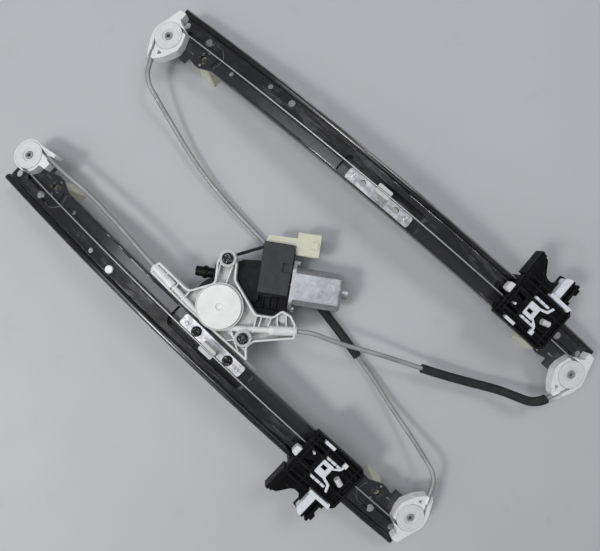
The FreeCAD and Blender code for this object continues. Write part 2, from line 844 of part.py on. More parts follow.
def carrier_body():
    """The moulded carrier: deck, walls, ribs, glass arm and the wire's channel."""
    v0, v1 = CARRIER_V
    half = CARRIER_HALF
    low = CARRIER_LOW
    deck = low + CARRIER_DECK
    high = CARRIER_HIGH
    outline = [
        (v0, -half + 5),
        (v0 + 5, -half),
        (v1 - 5, -half),
        (v1, -half + 5),
        (v1, half),
        (v0 + 5.4, half),
        (v0, half - 4),
    ]
    radii = [2, 2, 2, 2, 1, 1, 1]
    plate = slab(outline, radii, low, deck)
    edge = rounded_wire([Vector(x, y, low) for x, y in outline], radii)
    inside = Part.Face(edge.makeOffset2D(-1.8)).extrude(Vector(0, 0, high))
    walls = slab(outline, radii, low, high).cut(inside)
    ribs = []
    for v in (-3.6, 7.2, 24.0, 29.6, 34.4):
        ribs.append(block(v, v + 1.5, -half + 2, half - 2, low, high - 1.2))
    for u in (-25.4, 9.4, 24.6):
        ribs.append(block(v0 + 1, v1 - 1, u, u + 1.5, low, high - 2.0))
    pad = strip(31.6, 36.4, FREE_GAP, low + 0.5, -half + 2, half - 2)
    root = v0 + 0.5
    arm = [
        slab([(-31.0, 23.0), (-29.8, 19.6), (-19.0, 11.7), (-16.8, 8.0), (-16.8, 2.2), (-23.3, -3.6),
              (root, -3.6), (root, 26.0), (-31.0, 26.0)], [1, 2, 3, 3, 3, 1, 0, 0, 0], 6.4, 9.4),
        block(-31.0, v0 + 4, 29.6, 32.6, 4.0, 15.4),
        block(-31.0, v0 + 4, 25.4, 28.0, 4.0, 13.2),
        block(-31.0, v0 + 4, 25.4, 32.6, 4.0, 6.6),
        slab([(-31.0, -20.4), (root, -20.4), (root, -3.2), (-29.5, -3.2), (-31.0, -9.5)], 0, 2.6, 5.2),
        block(-31.0, root, -20.4, -17.8, 2.6, 13.6),
        block(-31.0, root, -14.8, -12.4, 2.6, 13.0),
        block(-28.4, -22.3, -24.0, -20.0, 3.6, 12.0),
        block(-13.5, root, -24.0, -20.0, 3.6, 12.0),
        disc(-17.5, 15.3, 6.5, 11.4, 1.1),
        disc(-17.2, -1.5, 6.5, 11.4, 1.1),
    ]
    body = joined([plate, walls, pad] + ribs + arm)
    clip0, clip1 = CLIP_V[0] - 0.4, CLIP_V[1] + 0.4
    openings = [
        block(3.2, 6.0, 9.5, 25.0, low - 1, high + 1),
        block(25.6, 28.1, 11.0, 25.0, low - 1, high + 1),
        slab([(9.5, 12.0), (16.5, 12.0), (12.0, 22.5), (9.5, 22.5)], 0.6, low - 1, high + 1),
        slab([(31.5, -2.0), (34.2, -2.0), (34.2, 8.0), (31.5, 8.0)], 0.6, deck - 1, high + 1),
        slab([(clip0, -15.6), (clip1, -15.6), (clip1, 9.2), (clip0, 9.2)], 0.5, deck, high + 1),
    ]
    return without(body, openings + side_bars().Solids + [glass_pad()])


# Small pieces of a carrier

def glass_pad():
    """The white bar that the pane's edge rests on."""
    v0 = CARRIER_V[0]
    end = v0 - SNUG_GAP
    return slab([(-31.0, -12.2), (end, -12.2), (end, -4.3), (-27.5, -4.3), (-31.0, -9.4)], 0.5, 5.2, 13.2)


def side_bars():
    v0 = CARRIER_V[0]
    deck = CARRIER_LOW + CARRIER_DECK
    outer = slab([(v0, -28.0), (v0 + 5.0, -25.6), (v0 + 3.7, -23.4), (v0 + 3.7, -1.5), (v0, -1.5)], 0.5,
                 deck, 15.2)
    inner = slab([(35.95, 7.7), (39.15, 7.7), (39.15, 19.7), (35.95, 19.7)], 0.4, deck, 15.0)
    return Part.Compound([outer, inner])


def lock_clip():
    """The H-shaped spring clip over the wire ends: windowed plate and two curved legs."""
    low = CARRIER_HIGH - 1.2
    plate = slab([(9.7, -3.6), (24.3, -3.6), (24.3, 8.8), (9.7, 8.8)], 1.2, low, low + 1.4)
    window = slab([(16.4, 0.7), (20.3, 0.7), (20.3, 6.9), (16.4, 6.9)], 0.3, low - 1, low + 3)
    left_leg = slab([(9.7, -2.4), (12.0, -3.4), (9.4, -12.0), (1.6, -15.2), (1.6, -12.6), (7.4, -10.0)],
                    [0, 0.5, 2.5, 0.5, 0.5, 2], low, low + 1.2)
    right_leg = slab([(18.4, -3.0), (21.0, -3.4), (25.8, -10.6), (34.6, -12.8), (34.6, -10.6), (27.6, -9.0),
                      (22.0, -2.6)], [0, 0, 5, 0.5, 0.5, 4, 0], low, low + 1.2)
    foot = slab([(30.2, -12.8), (34.8, -12.8), (34.8, -8.4), (30.2, -8.4)], 0.4, low, low + 2.0)
    return joined([plate, left_leg, right_leg, foot]).cut(window)


def slide_pads():
    """White pads that show through the deck's slots."""
    made = []
    deck = CARRIER_LOW + CARRIER_DECK
    for v in (3.0, 25.6):
        for u0, u1 in ((2.6, 7.3), (-4.0, 1.8), (-9.9, -4.8)):
            outline = [(v, u0), (v + 2.5, u0), (v + 2.5, u1), (v, u1)]
            made.append(slab(outline, 0.5, deck, CARRIER_HIGH - 1.3))
    return Part.Compound(made)


def wire_ends():
    """The ferrule of the lower wire in its seat and the pin of the upper one."""
    deck = CARRIER_LOW + CARRIER_DECK
    radius = 3.0
    z = deck + radius
    barrel = rod(Vector(17.9, -13.0, z), Vector(15.6, -20.6, z), radius)
    pin = disc(22.4, 20.4, deck, CARRIER_HIGH + 0.4, 1.3)
    return Part.Compound([barrel, pin])


def bumper():
    """The soft stop that meets the bracket at the end of travel."""
    half = CARRIER_HALF
    return slab([(8.8, half), (18.0, half), (17.4, half + 5.8), (9.4, half + 5.8)], [0.2, 0.2, 1.6, 1.6],
                CARRIER_LOW + 0.3, CARRIER_HIGH - 0.4)


# Drum, its housing and the gear motor. The motor's own frame has t along its axis from the gear mesh, n
# away from the drum, z up.

def in_motor(shape):
    placed = shape.copy()
    placed.rotate(ORIGIN, UP, MOTOR_TURN)
    placed.translate(Vector(MESH_X, MESH_Y, 0))
    return placed


def by_drum(shape):
    """Places a piece modelled about the drum's axis."""
    placed = shape.copy()
    placed.translate(Vector(DRUM_X, DRUM_Y, 0))
    return placed


def shaft(t0, t1, radius, n=0.0):
    """A round bar along the motor's axis, or beside it."""
    return Part.makeCylinder(radius, t1 - t0, Vector(t0, n, MOTOR_Z), ACROSS)


HOUSING_OUTLINE = [
    (-19.4, 71.3),
    (-6.6, 71.1),
    (-8.2, 32.3),
    (13.8, 18.8),
    (32.0, 31.6),
    (44.6, 25.2),
    (42.2, 15.0),
    (29.0, 5.4),
    (17.3, -30.6),
    (26.4, -44.2),
    (37.0, -47.0),
    (38.6, -57.0),
    (35.1, -65.4),
    (24.7, -74.0),
    (-3.8, -46.7),
    (-12.2, -45.2),
    (-21.8, -54.1),
    (-22.2, 25.0),
]
HOUSING_RADII = [1, 1, 6, 5, 7, 7, 5, 8, 6, 5, 4, 3, 1, 1, 4, 3, 1, 12]


def ribs_between(points, thickness, low, high):
    """Upright ribs, each between two points in plan."""
    made = []
    for start, end in points:
        a = Vector(start[0], start[1], low)
        b = Vector(end[0], end[1], low)
        side = Vector(a.y - b.y, b.x - a.x, 0).normalize() * (thickness / 2)
        corners = [a + side, b + side, b - side, a - side]
        made.append(slab([(p.x, p.y) for p in corners], 0, low, high))
    return made


HOUSING_RIBS = [
    ((-20.0, 58.0), (-7.0, 58.0)),
    ((-21.0, 44.0), (-8.0, 44.0)),
    ((-22.0, 31.0), (-8.0, 31.0)),
    ((14.0, 18.0), (34.0, 28.0)),
    ((20.0, 10.0), (41.0, 18.0)),
    ((-22.0, -24.0), (-2.0, -44.0)),
    ((-22.0, -44.0), (-8.0, -20.0)),
    ((-16.0, -50.0), (-12.0, -22.0)),
    ((17.0, -32.0), (2.0, -40.0)),
    ((19.6, -36.3), (10.0, -40.5)),
    ((27.1, -43.4), (16.0, -46.8)),
    ((31.3, -45.5), (22.3, -53.6)),
    ((37.0, -51.8), (28.0, -59.9)),
]


def drum_housing():
    """The ribbed nylon housing: base, rim, well for the drum, two arm tubes, screw bosses and rail foot."""
    outline = rounded_wire([Vector(x, y, BASE_LOW) for x, y in HOUSING_OUTLINE], HOUSING_RADII)
    full = Part.Face(outline).extrude(Vector(0, 0, RIM_HIGH - BASE_LOW))
    inner = Part.Face(outline.makeOffset2D(-RIM_WALL)).extrude(Vector(0, 0, RIM_HIGH))
    rim = full.cut(inner)
    base = Part.Face(outline).extrude(Vector(0, 0, BASE_SHEET))
    ribs = [r.common(full) for r in ribs_between(HOUSING_RIBS, 1.3, BASE_LOW, RIM_HIGH - 1.2)]
    well = disc(0, 0, BASE_LOW, RIM_HIGH + 1.6, WELL_R + WELL_WALL)
    tubes = []
    bores = []
    for tip, turn in ((UPPER_ARM, 1), (RIGHT_ARM, -1)):
        start, end, leave = arm_line(tip, turn)
        shift = Vector(DRUM_X, DRUM_Y, 0)
        start, end = start - shift, end - shift
        tubes.append(rod(start, end - leave * 20, 3.0))
        tubes.append(rod(end - leave * 25, end + leave * 1.5, TUBE_R))
        bores.append(rod(start - leave * 6, end, WIRE_R + 0.5))
        bores.append(rod(end - leave * CONDUIT_SEAT, end + leave * 2, CONDUIT_D / 2))
    bosses = [disc(x, y, BASE_LOW, BOSS_HIGH, BOSS_R) for x, y in HOUSING_BOSSES]
    hump = disc(BLIND_BOSS[0], BLIND_BOSS[1], BASE_LOW, RIM_HIGH - 5.0, 4.6)
    body = joined([joined([base, rim, well, hump] + ribs)] + tubes + bosses)
    cuts = bores + [
        disc(0, 0, BASE_LOW + BASE_SHEET, 60, WELL_R),
        disc(0, 0, 0, 60, HUB_R + FREE_GAP),
        disc(BLIND_BOSS[0], BLIND_BOSS[1], 0, RIM_HIGH - 7.5, SCREW_R - 0.2),
    ]
    cuts += [disc(x, y, 0, 60, SCREW_R + SNUG_GAP) for x, y in HOUSING_BOSSES]
    body = by_drum(without(body, cuts))
    foot_low = BASE_LOW - CROWN_Z
    foot = slab([(17.5, -46.0), (37.0, -46.0), (37.0, 42.0), (17.5, 42.0)], [6, 0, 0, 6],
                foot_low, foot_low + BASE_SHEET)
    posts = []
    drills = []
    for k in (-1, 1):
        y = k * PLATE_HOLE_PITCH / 2
        posts.append(disc(PLATE_HOLE_V, y, foot_low + 0.2, -RECESS_DEPTH - RAIL_SHEET, 5.6))
        drills.append(disc(PLATE_HOLE_V, y, foot_low - 3, 0, PLATE_HOLE_R - 0.4))
    tray = strip(15, 40, -RECESS_DEPTH - RAIL_SHEET, 2, -48, 48)
    foot = on_side(at_station(without(joined([foot] + posts), drills + [tray]), STATION), LEFT)
    return joined([body, foot])


def cable_drum():
    """The drum that winds the wire, with its grooves, a sunk bore for the gear's shaft and a dimple."""
    turns = 5
    pitch = 2.0
    depth = DRUM_R - WIND_R + WIRE_R
    low = DRUM_LOW + 0.3
    half = [(SHAFT_R + RUNNING_GAP, low), (DRUM_R, low)]
    for k in range(turns):
        z = WIND_Z + (k - (turns - 1) / 2) * pitch
        floor_r = DRUM_R - depth
        half += [(DRUM_R, z - 0.85), (floor_r, z - 0.35), (floor_r, z + 0.35), (DRUM_R, z + 0.85)]
    half += [
        (DRUM_R, DRUM_HIGH - 0.6),
        (DRUM_R - 0.6, DRUM_HIGH),
        (3.4, DRUM_HIGH),
        (2.6, DRUM_HIGH - 1.0),
        (0, DRUM_HIGH - 1.4),
        (0, SHAFT_TOP + 0.2),
        (SHAFT_R + RUNNING_GAP, SHAFT_TOP + 0.2),
    ]
    return by_drum(turned(half))


def worm_wheel():
    """The toothed wheel with its hub and output shaft."""
    step = 2 * math.pi / WHEEL_TEETH
    points = []
    for k in range(WHEEL_TEETH):
        middle = (k + 0.5) * step
        for share, radius in ((-0.25, -0.9), (-0.16, 0.55), (0.16, 0.55), (0.25, -0.9)):
            angle = middle + share * step
            reach = WHEEL_PITCH_R + radius
            points.append(Vector(reach * math.cos(angle), reach * math.sin(angle), WHEEL_LOW))
    rim = Part.Face(Part.makePolygon(points + points[:1])).extrude(Vector(0, 0, WHEEL_HIGH - WHEEL_LOW))
    sunk = ring(0, 0, WHEEL_HIGH - 3.0, WHEEL_HIGH + 1, WHEEL_PITCH_R - 3.6, HUB_R + 1.5)
    sunk_below = ring(0, 0, WHEEL_LOW - 1, WHEEL_LOW + 3.0, WHEEL_PITCH_R - 3.6, HUB_R + 1.5)
    hub = disc(0, 0, WHEEL_HIGH, BASE_LOW - 1.0, HUB_R)
    spindle = disc(0, 0, GEAR_LOW + 3.0, SHAFT_TOP, SHAFT_R)
    wheel = joined([without(rim, [sunk, sunk_below]), hub, spindle])
    wheel.rotate(ORIGIN, UP, MOTOR_TURN + 90)
    return by_drum(wheel)


def gear_housing():
    """The motor's gear case: wheel case, worm tunnel with its end bearing nozzle, and screw ears."""
    low, high = GEAR_LOW, BASE_LOW
    case = disc(0, -WORM_OFFSET, low, high, CASE_R)
    tunnel = slab([(-12.0, -20.0), (34.0, -20.0), (34.0, 10.5), (-12.0, 10.5)], 2.5, MOTOR_Z - 11, high)
    extension = slab([(30.0, -13.0), (EXTENSION_END, -13.0), (EXTENSION_END, 13.0), (30.0, 13.0)], 1.0,
                     low + 1, high)
    shoulder = slab([(8.0, 4.0), (34.0, 4.0), (34.0, 20.0), (14.0, 18.0), (8.0, 14.0)], 2.0, 22.0, high - 1)
    nozzle = shaft(-31.5, -9.0, NOZZLE_R)
    collar = shaft(-24.0, -20.5, NOZZLE_R + 1.4)
    strut = ribs_between([((3.8, 20.1), (33.0, 34.0))], 2.6, 27.0, high - 1)
    ear_t, ear_n, ear_z = FLANGE_EAR
    bar = block(ear_t, EXTENSION_END, -ear_n, ear_n, MOTOR_Z - ear_z, MOTOR_Z + ear_z)
    ears = []
    for x, y in HOUSING_BOSSES + [BLIND_BOSS]:
        ear = by_drum(disc(x, y, high - 7.0, high, EAR_R))
        tie = by_drum(ribs_between([((0, 0), (x, y))], 9.0, high - 7.0, high)[0])
        ears += [ear, tie]
    along_motor = [case, tunnel, extension, shoulder, nozzle, collar, bar] + strut
    body = joined([in_motor(shape) for shape in along_motor] + ears)
    cavity = [
        in_motor(disc(0, -WORM_OFFSET, low + CASE_WALL, high - CASE_WALL, CASE_R - CASE_WALL)),
        in_motor(disc(0, -WORM_OFFSET, high - CASE_WALL - 1, high + 1, HUB_R + FREE_GAP)),
        in_motor(shaft(-10.0, EXTENSION_END + 1, TUNNEL_R)),
        in_motor(shaft(-29.0, -9.0, ARMATURE_R + RUNNING_GAP)),
        in_motor(shaft(EXTENSION_END - 3, EXTENSION_END + 1, 10.6)),
    ]
    for n in (-FLANGE_SCREW_N, FLANGE_SCREW_N):
        cavity.append(in_motor(shaft(ear_t + 1, EXTENSION_END + 1, FLANGE_SCREW_R, n)))
    cavity += [by_drum(disc(x, y, high - 9.0, high + 1, SCREW_R - 0.2)) for x, y in HOUSING_BOSSES]
    cavity.append(by_drum(disc(BLIND_BOSS[0], BLIND_BOSS[1], high - 9.0, high + 1, SCREW_R + SNUG_GAP)))
    seat = ring(0, -WORM_OFFSET, low + CASE_WALL - 0.5, WHEEL_LOW - 1.0, HUB_R + 1.0, SHAFT_R + RUNNING_GAP)
    return joined([without(body, cavity), in_motor(seat)])


def armature_shaft():
    """The motor's shaft with its worm, whose thread stands in a tooth gap of the wheel at the mesh."""
    bar = shaft(-28.5, CAN_START + CAN_LENGTH + 3.5, ARMATURE_R)
    core_r = WORM_R - 0.9
    core = shaft(-WORM_HALF - 1.0, WORM_HALF + 1.0, core_r)
    pitch = 2 * math.pi * WHEEL_PITCH_R / WHEEL_TEETH
    turns = round(2 * WORM_HALF / pitch)
    helix = Part.makeHelix(pitch, turns * pitch, core_r)
    root = core_r - 0.3
    tip = WORM_R + 0.6
    tooth = [(root, -0.56), (tip, -0.22), (tip, 0.22), (root, 0.56)]
    profile = Part.makePolygon([Vector(r, 0, z) for r, z in tooth + tooth[:1]])
    thread = Part.Wire(helix).makePipeShell([profile], True, True)
    thread.rotate(ORIGIN, UP, -90 - 180 * turns)
    thread.rotate(ORIGIN, ALONG, 90)
    thread.translate(Vector(-turns * pitch / 2, 0, MOTOR_Z))
    return in_motor(joined([bar, core]).fuse(thread))


def rotor():
    """The wound core with its slots, and the commutator, pressed on the shaft."""
    t0 = CAN_START + 11.0
    t1 = CAN_START + 40.0
    core = shaft(t0, t1, ROTOR_R)
    slots = []
    for k in range(10):
        groove = block(t0 - 1, t1 + 1, -0.7, 0.7, MOTOR_Z + 8.6, MOTOR_Z + 16)
        groove.rotate(Vector(0, 0, MOTOR_Z), ACROSS, 36 * k)
        slots.append(groove)
    core = without(core, slots)
    winding = shaft(t0 - 2.5, t1 + 2.5, 8.4)
    commutator = shaft(t0 - 9.0, t0 - 2.5, 5.6)
    body = joined([core, winding, commutator])
    return in_motor(body.cut(shaft(0, 200, ARMATURE_R + 0.001)))


def can_profile(radius, half_height, t):
    """Outline of the flattened can: two round sides and two flats."""
    half_flat = math.sqrt(radius ** 2 - half_height ** 2)
    high = MOTOR_Z + half_height
    low = MOTOR_Z - half_height
    far_top, far_low = Vector(t, half_flat, high), Vector(t, half_flat, low)
    near_top, near_low = Vector(t, -half_flat, high), Vector(t, -half_flat, low)
    return Part.Wire([
        Part.LineSegment(near_top, far_top).toShape(),
        Part.Arc(far_top, Vector(t, radius, MOTOR_Z), far_low).toShape(),
        Part.LineSegment(far_low, near_low).toShape(),
        Part.Arc(near_low, Vector(t, -radius, MOTOR_Z), near_top).toShape(),
    ])


def motor_can():
    """The deep-drawn flattened can with its rounded closed end and bearing boss."""
    t0 = CAN_START
    t1 = CAN_START + CAN_LENGTH
    outer = Part.Face(can_profile(CAN_R, CAN_HALF_HEIGHT, t0)).extrude(Vector(CAN_LENGTH, 0, 0))
    far = [e for e in outer.Edges if abs(e.BoundBox.XMin - t1) < TINY and abs(e.BoundBox.XMax - t1) < TINY]
    outer = outer.makeFillet(3.5, far)
    boss = shaft(t1 - 2, t1 + 7.0, END_BOSS_R)
    rim = [e for e in boss.Edges if abs(e.BoundBox.XMin - t1 - 7.0) < TINY]
    boss = boss.makeFillet(1.2, rim)
    hollow = Part.Face(can_profile(CAN_R - CAN_WALL, CAN_HALF_HEIGHT - CAN_WALL, t0 - 1))
    hollow = hollow.extrude(Vector(CAN_LENGTH - CAN_WALL + 1, 0, 0))
    seat = shaft(t0, t1 + 5.0, END_BOSS_R - 1.2)
    return in_motor(without(outer.fuse(boss).removeSplitter(), [hollow, seat]))


def magnets():
    """Two curved magnets against the can's round sides."""
    made = []
    outer_r = CAN_R - CAN_WALL
    tube = shaft(CAN_START + 9, CAN_START + 42, outer_r).cut(shaft(0, 200, ROTOR_R + 0.6))
    band = block(0, 200, -30, 30, MOTOR_Z - 11.5, MOTOR_Z + 11.5)
    for side in (-1, 1):
        keep = block(0, 200, *sorted((side * 7.0, side * 30.0)), 0, 60)
        made.append(in_motor(tube.common(band).common(keep)))
    return Part.Compound(made)


def end_bush():
    outer = shaft(CAN_START + CAN_LENGTH - 1.0, CAN_START + CAN_LENGTH + 5.0, END_BOSS_R - 1.2)
    return in_motor(outer.cut(shaft(0, 200, ARMATURE_R + RUNNING_GAP)))


def brush_holder():
    """The plate at the can's mouth with its two brush boxes."""
    t0 = CAN_START + 0.2
    disc_plate = Part.Face(can_profile(CAN_R - CAN_WALL - 0.2, CAN_HALF_HEIGHT - CAN_WALL - 0.2, t0))
    disc_plate = disc_plate.extrude(Vector(1.8, 0, 0))
    boxes = [
        block(t0 + 1, t0 + 7.5, *sorted((side * 6.2, side * 14.5)), MOTOR_Z - 3, MOTOR_Z + 3)
        for side in (-1, 1)
    ]
    body = joined([disc_plate] + boxes)
    return in_motor(body.cut(shaft(0, 200, 6.0)))


def motor_flange():
    """The plated flange between gear case and can."""
    half = [(26.0, -7.0), (26.0, 7.0), (16.0, 12.6)]
    outline = half + [(-n, z) for n, z in reversed(half)] + [(-16.0, -12.6), (16.0, -12.6)]
    corners = [Vector(EXTENSION_END, n, MOTOR_Z + z) for n, z in outline]
    wire = rounded_wire(corners, [4, 4, 6, 6, 4, 4, 6, 6])
    plate = Part.Face(wire).extrude(Vector(CAN_START - EXTENSION_END, 0, 0))
    holes = [shaft(0, 200, 11.0)]
    holes += [shaft(0, 200, FLANGE_SCREW_R + SNUG_GAP, n) for n in (-FLANGE_SCREW_N, FLANGE_SCREW_N)]
    return in_motor(without(plate, holes))


def motor_screws():
    made = []
    for n in (-FLANGE_SCREW_N, FLANGE_SCREW_N):
        head = shaft(CAN_START, CAN_START + 2.6, 3.3, n)
        shank = shaft(FLANGE_EAR[0] + 2, CAN_START + 1, FLANGE_SCREW_R, n)
        body = joined([head, shank])
        made.append(in_motor(body.cut(shaft(CAN_START + 1.2, CAN_START + 4, 1.7, n))))
    return Part.Compound(made)


def electronics_cover():
    """The matte box beside and over the gear case, hollow for the circuit board."""
    t0, t1 = BOX_T
    n0, n1 = BOX_N
    z0, z1 = BOX_Z
    outer = slab([(t0, n0), (t1, n0), (t1 + 1.0, n1 - 4.5), (t1 - 3.5, n1), (t0, n1)], 1.2, z0, z1)
    top = [e for e in outer.Edges if abs(e.BoundBox.ZMin - z1) < TINY and e.Length > 4]
    outer = outer.makeChamfer(0.7, top)
    gap = RUNNING_GAP
    under = block(t0 - 5, t1 + 9, n0 - 1, 13.0 + gap, z0 - 1, BASE_LOW + gap)
    shoulder = block(t0 - 5, 34.0 + gap, n0 - 1, 20.0 + gap, z0 - 1, BASE_LOW - 1 + gap)
    wedge = block(t0 - 5, 34.6, 20.0, 36.0, 26.5, BASE_LOW - 1 + gap)
    wall = BOX_WALL
    hollow = block(t0 + wall, t1 - wall - 1, 13.0 + wall, n1 - wall - 3, z0 + wall, z1 - wall)
    ear_t, ear_n, ear_z = FLANGE_EAR
    ear = block(ear_t - 0.4, t1 + 9, n0, ear_n + 0.4, MOTOR_Z - ear_z - 0.4, MOTOR_Z + ear_z + 0.4)
    body = outer.cut([under, shoulder, wedge, ear])
    notch = block(t1 - 9.0, t1 + 2, 11.5, 20.5, z1 - 1.6, z1 + 1)
    return in_motor(without(body, [hollow, notch]))


def circuit_board():
    t0, t1 = BOX_T
    z = BOX_Z[0] + BOX_WALL
    board = block(t0 + BOX_WALL + 2.9, t1 - BOX_WALL - 1.5, 17.0, 33.0, z, z + 1.6)
    chips = [block(t0 + 8 + 7 * k, t0 + 13 + 7 * k, 20.0, 28.0, z + 1.6, z + 3.6) for k in range(3)]
    return in_motor(joined([board] + chips))


def connector():
    """The ivory connector with its deep socket, latch ramp and the strip along the box."""
    t0, t1 = CONNECTOR_T
    n0, n1 = CONNECTOR_N
    z0, z1 = CONNECTOR_Z
    shroud = block(t0, t1, n0, n1, z0, z1)
    edges = [e for e in shroud.Edges if abs(e.BoundBox.XLength - (t1 - t0)) < TINY]
    shroud = shroud.makeFillet(1.6, edges)
    socket = block(t1 - CONNECTOR_DEEP, t1 + 1, n0 + 1.7, n1 - 1.7, z0 + 1.7, z1 - 1.7)
    latch = slab([(t1 - 9, n0 + 8), (t1 - 9, n1 - 8), (t1 - 2, n1 - 8), (t1 - 2, n0 + 8)], 0.8,
                 z1, z1 + 1.6)
    b0, b1 = BOX_T
    lid_n = BOX_N[1] + RUNNING_GAP
    lid = slab([(b0 + 1.0, lid_n), (t0 + 1, lid_n), (t0 + 1, 46.5), (b0 + 3.0, 45.6)], 0.8, 24.0, 34.0)
    return in_motor(joined([shroud.cut(socket), latch, lid]))


def connector_pins():
    t0, t1 = CONNECTOR_T
    z0, z1 = CONNECTOR_Z
    floor = t1 - CONNECTOR_DEEP
    mid_n = sum(CONNECTOR_N) / 2
    made = []
    for row in (-1, 1):
        for k in range(4):
            n = mid_n + (k - 1.5) * 4.4
            z = (z0 + z1) / 2 + row * 2.6
            made.append(in_motor(block(floor, t1 - 4.0, n - 0.5, n + 0.5, z - 0.4, z + 0.4)))
    return Part.Compound(made)


def housing_screws():
    """Pan-head screws with a crossed slot that clamp the drum housing to the gear case."""
    made = []
    top = BOSS_HIGH
    for x, y in HOUSING_BOSSES:
        head = turned([(0, top), (5.5, top), (5.5, top + 1.4), (4.0, top + 3.2), (0, top + 3.2)], x, y)
        shank = disc(x, y, BASE_LOW - 6.5, top + 0.5, SCREW_R - 0.2)
        cross = [block(x - 2.8, x + 2.8, y - 0.55, y + 0.55, top + 1.8, top + 5),
                 block(x - 0.55, x + 0.55, y - 2.8, y + 2.8, top + 1.8, top + 5)]
        made.append(by_drum(without(joined([head, shank]), cross)))
    return Part.Compound(made)


def arm_wire(tip, turn):
    """The short bare wire between drum and conduit, inside the housing."""
    start, end, leave = arm_line(tip, turn)
    clear = math.sqrt((WELL_R + 0.1) ** 2 - WIND_R ** 2)
    return rod(start + leave * clear, end - leave * CONDUIT_SEAT, WIRE_R)


# Every piece by name

CARRIER_PIECES = {
    "glass_pad": glass_pad,
    "side_bars": side_bars,
    "lock_clip": lock_clip,
    "slide_pads": slide_pads,
    "wire_ends": wire_ends,
    "bumper": bumper,
}
POWER_PIECES = [
    drum_housing,
    cable_drum,
    worm_wheel,
    gear_housing,
    armature_shaft,
    rotor,
    motor_can,
    magnets,
    end_bush,
    brush_holder,
    motor_flange,
    motor_screws,
    electronics_cover,
    circuit_board,
    connector,
    connector_pins,
    housing_screws,
]


def pieces():
    made = {make.__name__: make() for make in POWER_PIECES}
    for side, hand in HANDS.items():
        carrier_u = LEFT_CARRIER_U if hand == LEFT else RIGHT_CARRIER_U
        made[side + "_rail"] = rail(hand)
        made[side + "_bridge_plate"] = bridge_plate(hand)
        made[side + "_wire_guide"] = wire_guide(hand)
        for place, end in (("top", 1), ("bottom", -1)):
            made[f"{side}_{place}_bracket"] = end_bracket(hand, end)
            made[f"{side}_{place}_pulley"] = on_side(at_end(pulley(), end), hand)
        made[side + "_carrier_body"] = on_side(at_station(carrier_body(), carrier_u), hand)
        made[side + "_carrier_shoe"] = on_side(at_station(carrier_shoe(), carrier_u), hand)
        for name, make in CARRIER_PIECES.items():
            made[f"{side}_{name}"] = on_side(at_station(make(), carrier_u), hand)
    ends = [(hand, end) for hand in (LEFT, RIGHT) for end in (1, -1)]
    made["pulley_rivets"] = Part.Compound([on_side(at_end(pulley_pin(), end), hand) for hand, end in ends])
    made["locating_plugs"] = Part.Compound([locating_plug(hand, end) for hand, end in ends])
    made["plate_screws"] = Part.Compound([plate_screw(k) for k in (-1, 1)])
    made["rail_button"] = rail_button()
    made["wire_a"] = Part.Compound([rail_wire(LEFT, 1, LEFT_CARRIER_U), arm_wire(UPPER_ARM, 1)])
    made["wire_b"] = Part.Compound([
        rail_wire(LEFT, -1, LEFT_CARRIER_U),
        rail_wire(RIGHT, 1, RIGHT_CARRIER_U),
    ])
    made["wire_c"] = Part.Compound([rail_wire(RIGHT, -1, RIGHT_CARRIER_U), arm_wire(RIGHT_ARM, -1)])
    route_b = conduit_b_route()
    route_c = conduit_c_route()
    made["conduit_a"] = conduit(conduit_a_route())
    made["conduit_b"] = conduit(route_b)
    made["conduit_c"] = conduit(route_c)
    made["foam_sleeve_b"] = foam_sleeve(route_b, 6, 9)
    made["foam_sleeve_c"] = foam_sleeve(route_c, 4, 9)
    return made


for cord, route in (("a", conduit_a_route()), ("b", conduit_b_route()), ("c", conduit_c_route())):
    radii = route_radii(route)
    bends = rounded_wire(route, radii, closed=False)
    area = math.pi * CONDUIT_D ** 2 / 4
    print(f"conduit {cord}: length {bends.Length:.1f}, section x length {area * bends.Length:.0f}, radii",
          [round(r) for r in radii[1:-1]])

os.makedirs("parts", exist_ok=True)
for name, shape in pieces().items():
    shape.translate(TO_MIDDLE)
    shape.exportStep(f"parts/{name}.step")
    box = shape.BoundBox
    print(f"{name:24s} solids {len(shape.Solids)} valid {shape.isValid()} volume {shape.Volume:9.1f} "
          f"z {box.ZMin:6.1f} {box.ZMax:6.1f}")
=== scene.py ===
import bmesh
import bpy
import json
import math
from mathutils import Matrix, Vector


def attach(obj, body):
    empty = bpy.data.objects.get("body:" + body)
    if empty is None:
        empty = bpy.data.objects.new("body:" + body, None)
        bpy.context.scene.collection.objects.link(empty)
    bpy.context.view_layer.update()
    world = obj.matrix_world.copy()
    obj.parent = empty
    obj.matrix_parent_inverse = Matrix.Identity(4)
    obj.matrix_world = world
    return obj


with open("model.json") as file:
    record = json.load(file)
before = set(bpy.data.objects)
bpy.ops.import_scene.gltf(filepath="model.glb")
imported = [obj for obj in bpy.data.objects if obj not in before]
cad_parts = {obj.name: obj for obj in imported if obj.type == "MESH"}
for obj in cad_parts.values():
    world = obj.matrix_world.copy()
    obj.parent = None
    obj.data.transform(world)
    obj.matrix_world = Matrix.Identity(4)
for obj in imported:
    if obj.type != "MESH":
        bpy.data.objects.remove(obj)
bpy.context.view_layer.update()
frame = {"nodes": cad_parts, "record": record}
NODES = frame["nodes"]
SLOTS = {part["node"]: part["material_slot"] for part in frame["record"]["subparts"]}

# Where the rails lie, as in the solids: lengths in metres, hand is -1 for the left rail and 1 for the right
RAIL_RADIUS = 1.2
RAIL_SPLAY = math.radians(1.75)
RAIL_OUT = 0.132
RAIL_SHIFT = 0.012
CROWN = Vector((-0.00035, 0.00149, 0.0493))
PULLEY_V = 0.0348
PULLEY_U = 0.259


# Camera: straight down, turned so that the rails run from upper left to lower right

SENSOR = 36.0
FOCAL_PIXELS = 478.6
FRAME_PIXELS = 600.0
CAMERA_PLACE = (-0.0004, -0.0065, 0.5)
CAMERA_RIGHT = (0.667, -0.745, 0.0)
CAMERA_UP = (0.745, 0.667, 0.0)


